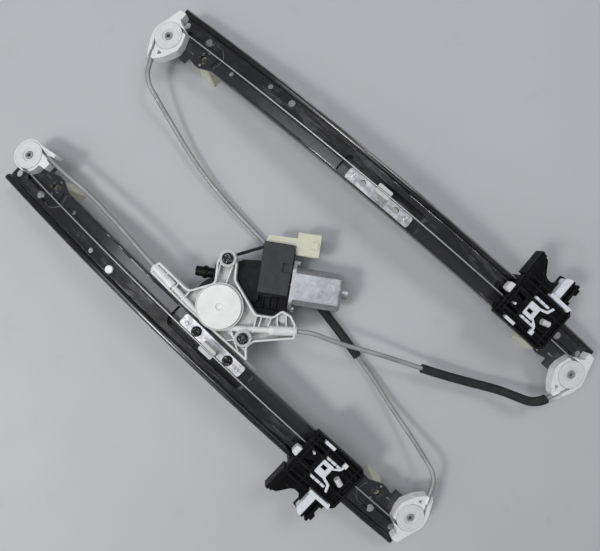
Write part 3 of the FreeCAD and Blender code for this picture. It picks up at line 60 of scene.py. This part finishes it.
def aim_camera():
    data = bpy.data.cameras.new("camera")
    data.sensor_width = SENSOR
    data.lens = SENSOR * FOCAL_PIXELS / FRAME_PIXELS
    data.clip_start = 0.01
    camera = bpy.data.objects.new("camera", data)
    right = Vector(CAMERA_RIGHT).normalized()
    up = Vector(CAMERA_UP).normalized()
    turn = Matrix((right, up, Vector((0, 0, 1)))).transposed()
    camera.matrix_world = Matrix.Translation(CAMERA_PLACE) @ turn.to_4x4()
    bpy.context.collection.objects.link(camera)
    bpy.context.scene.camera = camera


# Studio: a plain grey table, two lamps from left and right, two wide panels at the sides and one overhead

SKY_COLOUR = (0.80, 0.82, 0.86, 1)
SKY_STRENGTH = 0.30
LAMPS = (
    # name, place, target, size, power, colour
    ("key", (-0.90, 0.42, 1.5), (-0.05, 0, 0), (0.34, 0.34), 10.0, (1.0, 0.99, 0.97)),
    ("second", (1.0, 0.05, 1.5), (0, 0, 0), (0.40, 0.40), 5.0, (0.96, 0.98, 1.0)),
    ("side_left", (-1.5, 0.4, 1.2), (0, 0, 0), (1.3, 1.3), 6.0, (1.0, 1.0, 0.99)),
    ("side_right", (1.5, -0.3, 1.2), (0, 0, 0), (1.3, 1.3), 3.5, (0.97, 0.98, 1.0)),
    ("panel", (-0.08, 0.5, 1.5), (0, 0, 0), (0.5, 0.8), 5.3, (0.92, 0.94, 1.0)),
)
TABLE_REACH = 3.0
TABLE_DROP = 0.0001
TABLE_COLOUR = (0.47, 0.477, 0.495)


def area_light(name, place, target, size, power, colour):
    data = bpy.data.lights.new(name, "AREA")
    data.shape = "RECTANGLE"
    data.size, data.size_y = size
    data.energy = power
    data.color = colour
    lamp = bpy.data.objects.new(name, data)
    lamp.location = place
    aim = Vector(target) - Vector(place)
    lamp.rotation_euler = aim.to_track_quat("-Z", "Y").to_euler()
    bpy.context.collection.objects.link(lamp)


def studio():
    world = bpy.data.worlds.new("studio")
    world.use_nodes = True
    sky = world.node_tree.nodes["Background"]
    sky.inputs[0].default_value = SKY_COLOUR
    sky.inputs[1].default_value = SKY_STRENGTH
    bpy.context.scene.world = world
    for lamp in LAMPS:
        area_light(*lamp)
    mesh = bpy.data.meshes.new("table_top")
    side = TABLE_REACH
    corners = [(-side, -side, 0), (side, -side, 0), (side, side, 0), (-side, side, 0)]
    mesh.from_pydata(corners, [], [(0, 1, 2, 3)])
    table = bpy.data.objects.new("table_top", mesh)
    table.location.z = -TABLE_DROP
    bpy.context.collection.objects.link(table)
    table.data.materials.append(surface("table_grey", TABLE_COLOUR, 0.6, mottle=0.03, mottle_size=0.4,
                                        grain=0.02, grain_size=0.0008, bevel=0))


# Materials

class Tree:
    """A material's node tree with short calls for the nodes used here."""

    def __init__(self, name):
        self.material = bpy.data.materials.new(name)
        self.material.use_nodes = True
        self.nodes = self.material.node_tree.nodes
        self.links = self.material.node_tree.links
        self.shader = self.nodes["Principled BSDF"]
        self.place = self.nodes.new("ShaderNodeTexCoord").outputs["Object"]

    def put(self, socket, value):
        if hasattr(value, "is_output"):
            self.links.new(value, socket)
        else:
            socket.default_value = value

    def stretched(self, angle, stretch):
        """Coordinates turned about Z and squeezed along their first axis, for marks that run one way."""
        mapping = self.nodes.new("ShaderNodeMapping")
        mapping.inputs["Rotation"].default_value = (0, 0, angle)
        mapping.inputs["Scale"].default_value = stretch
        self.links.new(self.place, mapping.inputs["Vector"])
        return mapping.outputs[0]

    def noise(self, size, detail=3.0, rough=0.5, place=None, distortion=0.0):
        node = self.nodes.new("ShaderNodeTexNoise")
        node.inputs["Scale"].default_value = 1.0 / size
        node.inputs["Detail"].default_value = detail
        node.inputs["Roughness"].default_value = rough
        node.inputs["Distortion"].default_value = distortion
        self.links.new(place or self.place, node.inputs["Vector"])
        return node.outputs["Fac"]

    def voronoi(self, size):
        node = self.nodes.new("ShaderNodeTexVoronoi")
        node.inputs["Scale"].default_value = 1.0 / size
        self.links.new(self.place, node.inputs["Vector"])
        return node

    def cells(self, size):
        """Distance from the middle of each cell."""
        return self.voronoi(size).outputs["Distance"]

    def cell_shade(self, size):
        """One grey for each whole cell."""
        grey = self.nodes.new("ShaderNodeRGBToBW")
        self.links.new(self.voronoi(size).outputs["Color"], grey.inputs[0])
        return grey.outputs[0]

    def span(self, value, low, high, to_low=0.0, to_high=1.0):
        node = self.nodes.new("ShaderNodeMapRange")
        self.put(node.inputs["Value"], value)
        node.inputs["From Min"].default_value = low
        node.inputs["From Max"].default_value = high
        node.inputs["To Min"].default_value = to_low
        node.inputs["To Max"].default_value = to_high
        return node.outputs[0]

    def math(self, kind, a, b=0.0):
        node = self.nodes.new("ShaderNodeMath")
        node.operation = kind
        self.put(node.inputs[0], a)
        self.put(node.inputs[1], b)
        return node.outputs[0]

    def mix(self, share, a, b):
        node = self.nodes.new("ShaderNodeMix")
        node.data_type = "RGBA"
        self.put(node.inputs[0], share)
        self.put(node.inputs[6], a if hasattr(a, "is_output") else (*a, 1.0))
        self.put(node.inputs[7], b if hasattr(b, "is_output") else (*b, 1.0))
        return node.outputs[2]

    def axis(self, index):
        node = self.nodes.new("ShaderNodeSeparateXYZ")
        self.links.new(self.place, node.inputs[0])
        return node.outputs[index]

    def across(self, hand):
        """Distance from a rail's rolled outer edge, in metres."""
        turn = hand * RAIL_SPLAY
        x = self.math("ADD", self.axis(0), -CROWN.x - hand * RAIL_OUT)
        y = self.math("ADD", self.axis(1), hand * RAIL_SHIFT - CROWN.y)
        by_x = self.math("MULTIPLY", x, math.cos(turn))
        by_y = self.math("MULTIPLY", y, math.sin(turn))
        return self.math("MULTIPLY", self.math("ADD", by_x, by_y), -hand)

    def facing(self):
        """Nought where a surface faces the eye, one where it turns away."""
        node = self.nodes.new("ShaderNodeLayerWeight")
        node.inputs["Blend"].default_value = 0.5
        return node.outputs["Facing"]

    def rounded(self, radius):
        node = self.nodes.new("ShaderNodeBevel")
        node.samples = 4
        node.inputs["Radius"].default_value = radius
        return node.outputs[0]

    def edges(self, normal, low, high):
        """One on sharp edges, nought on flats: how far the rounded normal leaves the true one."""
        geometry = self.nodes.new("ShaderNodeNewGeometry")
        dot = self.nodes.new("ShaderNodeVectorMath")
        dot.operation = "DOT_PRODUCT"
        self.links.new(normal, dot.inputs[0])
        self.links.new(geometry.outputs["Normal"], dot.inputs[1])
        return self.span(dot.outputs["Value"], 1.0 - low, 1.0 - high)

    def bump(self, height, distance, strength, normal=None):
        node = self.nodes.new("ShaderNodeBump")
        node.inputs["Strength"].default_value = strength
        node.inputs["Distance"].default_value = distance
        self.links.new(height, node.inputs["Height"])
        if normal is not None:
            self.links.new(normal, node.inputs["Normal"])
        return node.outputs[0]

    def finish(self, colour, rough, normal=None, metal=0.0, **sockets):
        tone = colour if hasattr(colour, "is_output") else (*colour, 1.0)
        self.put(self.shader.inputs["Base Color"], tone)
        self.put(self.shader.inputs["Roughness"], rough)
        self.put(self.shader.inputs["Metallic"], metal)
        if normal is not None:
            self.put(self.shader.inputs["Normal"], normal)
        for name, value in sockets.items():
            self.put(self.shader.inputs[name.replace("_", " ")], value)
        return self.material


def shade(colour, factor):
    return tuple(min(1.0, c * factor) for c in colour)


def surface(name, colour, rough, metal=0.0, mottle=0.15, mottle_size=0.012, grain=0.15, grain_size=0.0005,
            rough_spread=0.12, bevel=0.0003, edge=None, grime=0.0, **sockets):
    """A general worn surface: mottled colour, uneven gloss, fine grain, soft edges, a little grime and,
    where an edge colour is given, lighter edges that are partly wear and partly painted highlight.
    """
    tree = Tree(name)
    wide = tree.noise(mottle_size, 4.0, 0.6)
    tone = tree.mix(tree.span(wide, 0.3, 0.7), shade(colour, 1.0 - mottle), shade(colour, 1.0 + mottle))
    specks = tree.noise(mottle_size * 0.14, 3.0, 0.7)
    tone = tree.mix(tree.span(specks, 0.62, 0.80, 0.0, 0.35), tone, shade(colour, 0.75))
    if grime:
        patches = tree.noise(mottle_size * 1.7, 5.0, 0.65, distortion=0.4)
        tone = tree.mix(tree.span(patches, 0.52, 0.75, 0.0, grime), tone, (0.12, 0.11, 0.10))
    normal = tree.rounded(bevel) if bevel else None
    # Lighter edges: partly wear, partly a painted highlight on the rounded edges.
    if edge is not None:
        tone = tree.mix(tree.math("MULTIPLY", tree.edges(normal, 0.02, 0.25), 0.6), tone, edge)
    sheen = tree.noise(mottle_size * 0.6, 4.0, 0.6)
    gloss = tree.span(sheen, 0.3, 0.7, rough - rough_spread, rough + rough_spread)
    fine = tree.noise(grain_size, 2.0, 0.6)
    normal = tree.bump(fine, grain_size * 0.25, grain, normal)
    return tree.finish(tone, gloss, normal, metal, **sockets)


# Bands across a rail's web, as distances from its rolled outer edge
WEB_STEP = 0.0223
WEB_INNER = (0.0218, 0.0226)
WEB_OUTER = (0.0062, 0.0074)
WEB_STEP_SLOPE = -0.085
FLANK_IN = (0.0002, 0.0006)
FLANK_OUT = (0.0016, 0.0024)


def rail_black(name, hand):
    """Gloss black paint: the web's inner half tilts a little, mirrors the panel and is painted a lighter
    bluish sheen; the hem is painted darker as shade, the hem's outer flank carries a painted highlight, and
    there are scuffs on the outer.
    """
    tree = Tree(name)
    v = tree.across(hand)
    inner = tree.span(v, *WEB_INNER)
    outer_edge = tree.span(v, *WEB_OUTER, 1.0, 0.0)
    along = tree.stretched(-hand * 0.03, (1.0, 0.10, 1.0))
    smear = tree.noise(0.004, 4.0, 0.65, along, 0.6)
    patch = tree.noise(0.03, 3.0, 0.6, distortion=0.5)
    grease = tree.math("MULTIPLY", tree.span(smear, 0.46, 0.64), tree.span(patch, 0.40, 0.62))
    grease = tree.math("MULTIPLY", grease, tree.math("SUBTRACT", 1.0, inner))
    grease = tree.math("MULTIPLY", grease, tree.span(outer_edge, 0.0, 1.0, 1.0, 0.3))
    # Painted sheen: the web's inner half a lighter, bluish black.
    tone = tree.mix(inner, (0.010, 0.010, 0.011), (0.018, 0.018, 0.023))
    # Painted shade: the rolled hem darker than the web.
    tone = tree.mix(outer_edge, tone, (0.004, 0.004, 0.0045))
    tone = tree.mix(tree.math("MULTIPLY", grease, 0.8), tone, (0.060, 0.060, 0.065))
    chips = tree.span(tree.noise(0.0009, 3.0, 0.75), 0.66, 0.72, 0.0, 0.8)
    worn = tree.span(tree.noise(0.022, 3.0, 0.6), 0.50, 0.62)
    worn = tree.math("MULTIPLY", worn, tree.math("SUBTRACT", 1.0, inner))
    tone = tree.mix(tree.math("MULTIPLY", chips, worn), tone, (0.16, 0.16, 0.16))
    # Painted highlight along the hem's outer flank: pale grey on the right rail, faint on the left.
    flank_highlight = tree.math("MULTIPLY", tree.span(v, *FLANK_IN), tree.span(v, *FLANK_OUT, 1.0, 0.0))
    flank_highlight = tree.math("MULTIPLY", flank_highlight, tree.span(tree.noise(0.006, 4.0, 0.7, along), 0.3, 0.6))
    tone = tree.mix(flank_highlight, tone, (0.30, 0.30, 0.31) if hand > 0 else (0.03, 0.03, 0.03))
    normal = tree.rounded(0.0004)
    gloss = tree.math("ADD", tree.span(tree.noise(0.012, 5.0, 0.6), 0.3, 0.7, 0.13, 0.22),
                      tree.math("MULTIPLY", grease, 0.25))
    past_step = tree.math("MAXIMUM", tree.math("SUBTRACT", v, WEB_STEP), 0.0)
    step = tree.math("MULTIPLY", past_step, WEB_STEP_SLOPE)
    normal = tree.bump(step, 1.0, 1.0, normal)
    ripple = tree.bump(tree.noise(0.0035, 3.0, 0.5), 0.0002, 0.05, normal)
    return tree.finish(tone, gloss, ripple, 0.0, Coat_Weight=0.5, Coat_Roughness=0.10)


def zinc(name, dark, pale, size=0.0035, rough=0.34, edge=(0.85, 0.86, 0.87)):
    """Zinc plate: crystal-like blotches, fine scratches, dull patches and bright edges, partly wear and
    partly painted highlight.
    """
    tree = Tree(name)
    crystals = tree.cell_shade(size)
    cloud = tree.noise(size * 3.0, 4.0, 0.6, distortion=0.6)
    share = tree.math("ADD", tree.math("MULTIPLY", crystals, 0.4), tree.math("MULTIPLY", cloud, 0.7))
    tone = tree.mix(tree.span(share, 0.3, 0.8), dark, pale)
    stain = tree.span(tree.noise(size * 1.6, 5.0, 0.7), 0.60, 0.68, 0.0, 0.55)
    tone = tree.mix(stain, tone, shade(dark, 0.6))
    scratch = tree.noise(0.0012, 3.0, 0.7, tree.stretched(0.4, (1.0, 0.05, 1.0)))
    gloss = tree.math("ADD", tree.span(cloud, 0.3, 0.7, rough - 0.08, rough + 0.14),
                      tree.span(scratch, 0.6, 0.75, 0.0, 0.12))
    normal = tree.rounded(0.0006)
    # Bright edges: partly wear, partly a painted highlight.
    tone = tree.mix(tree.math("MULTIPLY", tree.edges(normal, 0.008, 0.10), 0.9), tone, edge)
    normal = tree.bump(scratch, 0.00006, 0.3, normal)
    return tree.finish(tone, gloss, normal, 0.85)


def sheath():
    """Grey translucent sheath: pale middle, dark edges painted as shade where the sheath turns away from the
    eye, and scuffs.
    """
    tree = Tree("sheath_grey")
    side = tree.span(tree.facing(), 0.25, 0.75)
    patch = tree.noise(0.02, 4.0, 0.6)
    tone = tree.mix(tree.span(patch, 0.35, 0.7), (0.34, 0.345, 0.35), (0.24, 0.243, 0.25))
    # Painted shade: darker where the surface turns away from the eye.
    tone = tree.mix(side, tone, (0.085, 0.086, 0.09))
    scuff = tree.span(tree.noise(0.0015, 4.0, 0.7), 0.62, 0.75, 0.0, 0.4)
    tone = tree.mix(scuff, tone, (0.42, 0.42, 0.42))
    normal = tree.bump(tree.noise(0.0008, 2.0, 0.5), 0.0001, 0.2)
    return tree.finish(tone, tree.span(patch, 0.3, 0.7, 0.30, 0.45), normal, 0.0, Coat_Weight=0.2)


def foam():
    tree = Tree("foam_black")
    cells = tree.cells(0.0009)
    wide = tree.noise(0.008, 4.0, 0.6)
    tone = tree.mix(tree.span(wide, 0.3, 0.7), (0.006, 0.006, 0.007), (0.020, 0.020, 0.021))
    tone = tree.mix(tree.span(cells, 0.0, 0.35, 0.5, 0.0), tone, (0.05, 0.05, 0.05))
    normal = tree.bump(cells, 0.0004, 0.5)
    return tree.finish(tone, 0.8, normal, 0.0)


def strand():
    """Twisted steel wire, greased, with its sides painted darker as shade."""
    tree = Tree("wire_strand")
    wave = tree.nodes.new("ShaderNodeTexWave")
    wave.inputs["Scale"].default_value = 260.0
    wave.inputs["Distortion"].default_value = 0.6
    wave.bands_direction = "DIAGONAL"
    tree.links.new(tree.place, wave.inputs["Vector"])
    lay = wave.outputs["Fac"]
    tone = tree.mix(lay, (0.30, 0.30, 0.30), (0.56, 0.56, 0.56))
    # Painted shade: the wire's sides darker where they turn away from the eye, so it reads as a thin bright
    # line.
    tone = tree.mix(tree.span(tree.facing(), 0.2, 0.7), tone, (0.08, 0.08, 0.08))
    normal = tree.bump(lay, 0.0002, 0.4)
    return tree.finish(tone, tree.span(tree.noise(0.004), 0.3, 0.7, 0.30, 0.48), normal, 0.5)


def milky():
    """Natural nylon: grey where it is thin and dark parts show through, with white edges at rims and ribs as
    painted highlight.
    """
    tree = Tree("milky_nylon")
    flow = tree.noise(0.014, 4.0, 0.6, distortion=1.2)
    high = tree.span(tree.axis(2), 0.0380, 0.0450)
    thin = tree.mix(tree.span(flow, 0.35, 0.65), (0.46, 0.475, 0.465), (0.56, 0.575, 0.56))
    thick = tree.mix(tree.span(flow, 0.35, 0.65), (0.62, 0.63, 0.62), (0.74, 0.745, 0.73))
    tone = tree.mix(high, thin, thick)
    tone = tree.mix(tree.span(tree.axis(2), 0.0475, 0.0482), tone, (0.50, 0.51, 0.50))
    dirt = tree.span(tree.noise(0.006, 5.0, 0.7), 0.58, 0.75, 0.0, 0.30)
    tone = tree.mix(dirt, tone, (0.33, 0.34, 0.31))
    normal = tree.rounded(0.0005)
    # White edges at rims and ribs: a painted highlight.
    tone = tree.mix(tree.math("MULTIPLY", tree.edges(normal, 0.02, 0.3), 0.5), tone, (0.86, 0.87, 0.86))
    normal = tree.bump(tree.noise(0.0007, 2.0), 0.0001, 0.15, normal)
    return tree.finish(tone, tree.span(flow, 0.3, 0.7, 0.28, 0.42), normal, 0.0,
                       Subsurface_Weight=0.6, Subsurface_Radius=(0.005, 0.005, 0.0048), Subsurface_Scale=1.0)


def flecked_screw():
    """Black oxide screw with painted glints: bright flecks on its ribs and recess."""
    tree = Tree("black_screw")
    flecks = tree.span(tree.noise(0.0012, 3.0, 0.7), 0.55, 0.60)
    ringed = tree.span(tree.noise(0.0035, 3.0, 0.6), 0.38, 0.50)
    normal = tree.rounded(0.0005)
    # Painted glints: bright flecks on the edges and in rings.
    glints = tree.math("MAXIMUM", tree.math("MULTIPLY", flecks, ringed),
                       tree.math("MULTIPLY", tree.edges(normal, 0.05, 0.4), flecks))
    tone = tree.mix(glints, (0.005, 0.005, 0.006), (0.42, 0.42, 0.43))
    normal = tree.bump(tree.noise(0.0007, 2.0), 0.0002, 0.3, normal)
    return tree.finish(tone, tree.span(flecks, 0.0, 1.0, 0.40, 0.22), normal, 0.2, Specular_IOR_Level=0.2)


def moulded_white(name, colour, size=0.010):
    """White acetal with flow marks, faint grey handling smudges and soft edges."""
    tree = Tree(name)
    flow = tree.noise(size, 4.0, 0.55, distortion=0.8)
    tone = tree.mix(tree.span(flow, 0.3, 0.7), shade(colour, 0.93), shade(colour, 1.04))
    smudge = tree.span(tree.noise(size * 0.5, 5.0, 0.7), 0.58, 0.78, 0.0, 0.30)
    tone = tree.mix(smudge, tone, (0.45, 0.44, 0.42))
    normal = tree.rounded(0.0004)
    normal = tree.bump(tree.noise(0.0009, 2.0), 0.0001, 0.12, normal)
    return tree.finish(tone, tree.span(flow, 0.3, 0.7, 0.30, 0.44), normal, 0.0,
                       Subsurface_Weight=0.12, Subsurface_Radius=(0.002, 0.002, 0.0018),
                       Subsurface_Scale=1.0)


def paint_nodes():
    looks = {
        "galvanised": zinc("galvanised", (0.36, 0.36, 0.38), (0.66, 0.66, 0.69), 0.004, 0.34),
        "guide_nylon": surface("guide_nylon", (0.50, 0.52, 0.51), 0.4, mottle=0.05, edge=(0.62, 0.64, 0.63),
                               grime=0.15),
        "white_acetal": moulded_white("white_acetal", (0.76, 0.76, 0.765)),
        "pulley_acetal": moulded_white("pulley_acetal", (0.68, 0.685, 0.69), 0.007),
        "rivet_steel": surface("rivet_steel", (0.36, 0.36, 0.36), 0.40, 0.4, mottle=0.3, mottle_size=0.003,
                               edge=(0.7, 0.7, 0.7)),
        "ivory_nylon": surface("ivory_nylon", (0.60, 0.595, 0.475), 0.36, mottle=0.06,
                               edge=(0.70, 0.70, 0.60), grime=0.1, Subsurface_Weight=0.2,
                               Subsurface_Radius=(0.003, 0.003, 0.002), Subsurface_Scale=1.0),
        "black_screw": flecked_screw(),
        "bright_screw": surface("bright_screw", (0.66, 0.66, 0.65), 0.28, 0.85, mottle=0.15,
                                mottle_size=0.003, edge=(0.9, 0.9, 0.9)),
        "white_plug": moulded_white("white_plug", (0.80, 0.80, 0.80), 0.006),
        # Black nylon: its grey rib edges are a painted highlight.
        "black_nylon": surface("black_nylon", (0.006, 0.006, 0.0065), 0.36, mottle=0.4, grain=0.3,
                               grain_size=0.0006, bevel=0.0005, edge=(0.11, 0.11, 0.12),
                               Specular_IOR_Level=0.12),
        "shoe_nylon": surface("shoe_nylon", (0.009, 0.009, 0.010), 0.45, mottle=0.25, grain=0.3,
                              edge=(0.06, 0.06, 0.06), Specular_IOR_Level=0.35),
        "white_insert": moulded_white("white_insert", (0.70, 0.73, 0.77), 0.006),
        "ferrule_steel": surface("ferrule_steel", (0.66, 0.67, 0.68), 0.35, 0.2, mottle=0.15,
                                 mottle_size=0.003, edge=(0.85, 0.85, 0.85)),
        "bumper_rubber": moulded_white("bumper_rubber", (0.70, 0.71, 0.72), 0.005),
        "milky_nylon": milky(),
        "cream_acetal": moulded_white("cream_acetal", (0.755, 0.765, 0.745), 0.012),
        "gear_acetal": moulded_white("gear_acetal", (0.76, 0.72, 0.6), 0.01),
        "shaft_steel": surface("shaft_steel", (0.55, 0.55, 0.55), 0.22, 0.9, mottle=0.1,
                               edge=(0.8, 0.8, 0.8)),
        "winding_copper": surface("winding_copper", (0.52, 0.24, 0.10), 0.35, 0.7, mottle=0.3,
                                  mottle_size=0.002),
        "can_zinc": zinc("can_zinc", (0.38, 0.39, 0.41), (0.52, 0.54, 0.56), 0.003, 0.38),
        "magnet_ferrite": surface("magnet_ferrite", (0.07, 0.07, 0.07), 0.6, mottle=0.2),
        "bush_bronze": surface("bush_bronze", (0.42, 0.27, 0.10), 0.35, 0.8, mottle=0.2, mottle_size=0.002),
        "brush_plastic": surface("brush_plastic", (0.05, 0.05, 0.05), 0.5, mottle=0.2),
        "cover_matte": surface("cover_matte", (0.026, 0.027, 0.030), 0.6, mottle=0.10, grain=0.5,
                               grain_size=0.0006, edge=(0.06, 0.06, 0.065), Specular_IOR_Level=0.4),
        "board_green": surface("board_green", (0.03, 0.15, 0.06), 0.3, mottle=0.2, mottle_size=0.004),
        "pin_tin": surface("pin_tin", (0.6, 0.6, 0.58), 0.28, 0.9, mottle=0.1, mottle_size=0.002),
        "wire_steel": strand(),
        "sheath_grey": sheath(),
        "foam_black": foam(),
    }
    rails = {"left_rail": rail_black("rail_black_left", -1), "right_rail": rail_black("rail_black_right", 1)}
    for node, slot in SLOTS.items():
        piece = NODES[node]
        piece.data.materials.clear()
        piece.data.materials.append(rails[node] if node in rails else looks[slot])


# Small trim on the frame: rims of the rails' end pockets, rings on their lobes and the web beside the gear
# case. Places on a rail's end are in mm about its pulley. The carriers' pads run 0.35 mm above the web, so
# no rim or ring stands higher than 0.25 mm.

POCKET_RIM = [(-22.9, -42.5), (-22.4, -50.6), (-14.0, -57.2), (-2.5, -54.8)]
RIM_RADIUS = 0.00050
RIM_HEIGHT = -0.25
LOBE_PLACE = (-5.2, -39.6)
LOBE_RINGS = (("outer", 5.6, 0.0007, -0.45), ("inner", 3.9, 0.0006, -0.35))
RING_STEPS = 28
CURVE_STEPS = 6
TUBE_SIDES = 10
GEAR_WEB = [(-0.0455, 0.0125), (-0.0265, -0.0090), (-0.0400, -0.0195), (-0.0590, 0.0045)]
GEAR_WEB_Z = (0.0240, 0.0279)
GEAR_RIB_Z = (0.0270, 0.0310)
GEAR_RIB_HALF = 0.0006
GEAR_RIB_SHARES = (0.30, 0.52, 0.74)


def rail_point(x, y, z, end, hand):
    """A point in mm about the pulley, z above the curved web, on the upper (1) or lower (-1) end."""
    turn = -end * PULLEY_U / RAIL_RADIUS
    sag = y * y / (2000.0 * RAIL_RADIUS)
    along, high = y * end / 1000.0, (z - sag) / 1000.0 + RAIL_RADIUS
    place = Vector((
        -hand * (x / 1000.0 + PULLEY_V),
        along * math.cos(turn) - high * math.sin(turn),
        along * math.sin(turn) + high * math.cos(turn) - RAIL_RADIUS,
    ))
    place.rotate(Matrix.Rotation(hand * RAIL_SPLAY, 3, "Z"))
    return place + CROWN + Vector((hand * RAIL_OUT, -hand * RAIL_SHIFT, 0))


def smoothed(points):
    """A curve through all the points."""
    padded = [points[0] * 2 - points[1]] + points + [points[-1] * 2 - points[-2]]
    out = []
    for a, b, c, d in zip(padded, padded[1:], padded[2:], padded[3:]):
        for step in range(CURVE_STEPS):
            t = step / CURVE_STEPS
            out.append(0.5 * (2 * b + (c - a) * t + (2 * a - 5 * b + 4 * c - d) * t * t
                              + (3 * b - a - 3 * c + d) * t * t * t))
    return out + [points[-1]]


def add_piece(name, verts, faces, material):
    """A closed mesh that rides the frame and carries the given material."""
    mesh = bpy.data.meshes.new(name)
    mesh.from_pydata([tuple(v) for v in verts], [], faces)
    shell = bmesh.new()
    shell.from_mesh(mesh)
    bmesh.ops.recalc_face_normals(shell, faces=shell.faces)
    shell.to_mesh(mesh)
    shell.free()
    for face in mesh.polygons:
        face.use_smooth = True
    piece = bpy.data.objects.new(name, mesh)
    bpy.context.collection.objects.link(piece)
    mesh.materials.append(material)
    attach(piece, "frame")
    return piece


def tube(name, points, radius, material, closed=False):
    """A round bead along the points."""
    verts, faces = [], []
    count, sides = len(points), TUBE_SIDES
    for i, point in enumerate(points):
        before = points[(i - 1) % count] if closed or i else point
        after = points[(i + 1) % count] if closed or i < count - 1 else point
        run = (after - before).normalized()
        side = run.cross(Vector((0, 0, 1))).normalized()
        up = side.cross(run)
        for k in range(sides):
            angle = 2 * math.pi * k / sides
            verts.append(point + side * radius * math.cos(angle) + up * radius * math.sin(angle))
    for i in range(count if closed else count - 1):
        a, b = i * sides, (i + 1) % count * sides
        for k in range(sides):
            m = (k + 1) % sides
            faces.append((a + k, a + m, b + m, b + k))
    if not closed:
        faces.append(tuple(range(sides)))
        faces.append(tuple(reversed(range((count - 1) * sides, count * sides))))
    add_piece(name, verts, faces, material)


def prism(name, corners, low, high, material, node, bevel):
    """An upright plate with softened edges."""
    count = len(corners)
    verts = [Vector((x, y, z)) for z in (low, high) for x, y in corners]
    faces = [tuple(reversed(range(count))), tuple(range(count, 2 * count))]
    faces += [(i, (i + 1) % count, count + (i + 1) % count, count + i) for i in range(count)]
    piece = add_piece(name, verts, faces, material)
    for face in piece.data.polygons:
        face.use_smooth = False
    soft = piece.modifiers.new("soft", "BEVEL")
    soft.width = bevel
    soft.segments = 2


def end_trim():
    # Pocket rim beads in a grey lighter than the rail paint: a painted highlight along the pocket edges.
    rim = surface("rim_painted_highlight", (0.075, 0.076, 0.080), 0.25, mottle=0.4, mottle_size=0.004,
                  edge=(0.3, 0.3, 0.31), Coat_Weight=0.5)
    # Lobe rings: black, with lighter edges as painted glints.
    boss = surface("boss_black", (0.012, 0.012, 0.013), 0.22, mottle=0.5, mottle_size=0.003,
                   edge=(0.3, 0.3, 0.31), Coat_Weight=0.5)
    for hand, side in ((-1, "left"), (1, "right")):
        for end, place in ((1, "top"), (-1, "bottom")):
            path = smoothed([rail_point(x, y, RIM_HEIGHT, end, hand) for x, y in POCKET_RIM])
            tube("%s_%s_pocket_rim" % (side, place), path, RIM_RADIUS, rim)
            for label, reach, thick, raised in LOBE_RINGS:
                ring = []
                for k in range(RING_STEPS):
                    angle = 2 * math.pi * k / RING_STEPS
                    ring.append(rail_point(LOBE_PLACE[0] + reach * math.cos(angle),
                                           LOBE_PLACE[1] + reach * math.sin(angle), raised, end, hand))
                tube("%s_%s_lobe_ring_%s" % (side, place, label), ring, thick, boss, closed=True)


def gear_web(material):
    """The moulded web that closes the gap between the gear case, its bar and the flange, with its ribs."""
    prism("gear_web", GEAR_WEB, *GEAR_WEB_Z, material, "gear_housing", 0.0004)
    near, far, high, low = [Vector(corner) for corner in GEAR_WEB]
    across = (far - near).normalized() * GEAR_RIB_HALF
    for number, share in enumerate(GEAR_RIB_SHARES):
        a, b = near.lerp(far, share), low.lerp(high, share)
        prism("gear_web_rib_%d" % (number + 1), [a - across, b - across, b + across, a + across],
              *GEAR_RIB_Z, material, "gear_housing", 0.0003)


paint_nodes()
end_trim()
gear_web(NODES["gear_housing"].data.materials[0])
studio()
aim_camera()
bpy.context.scene.view_settings.view_transform = "Standard"
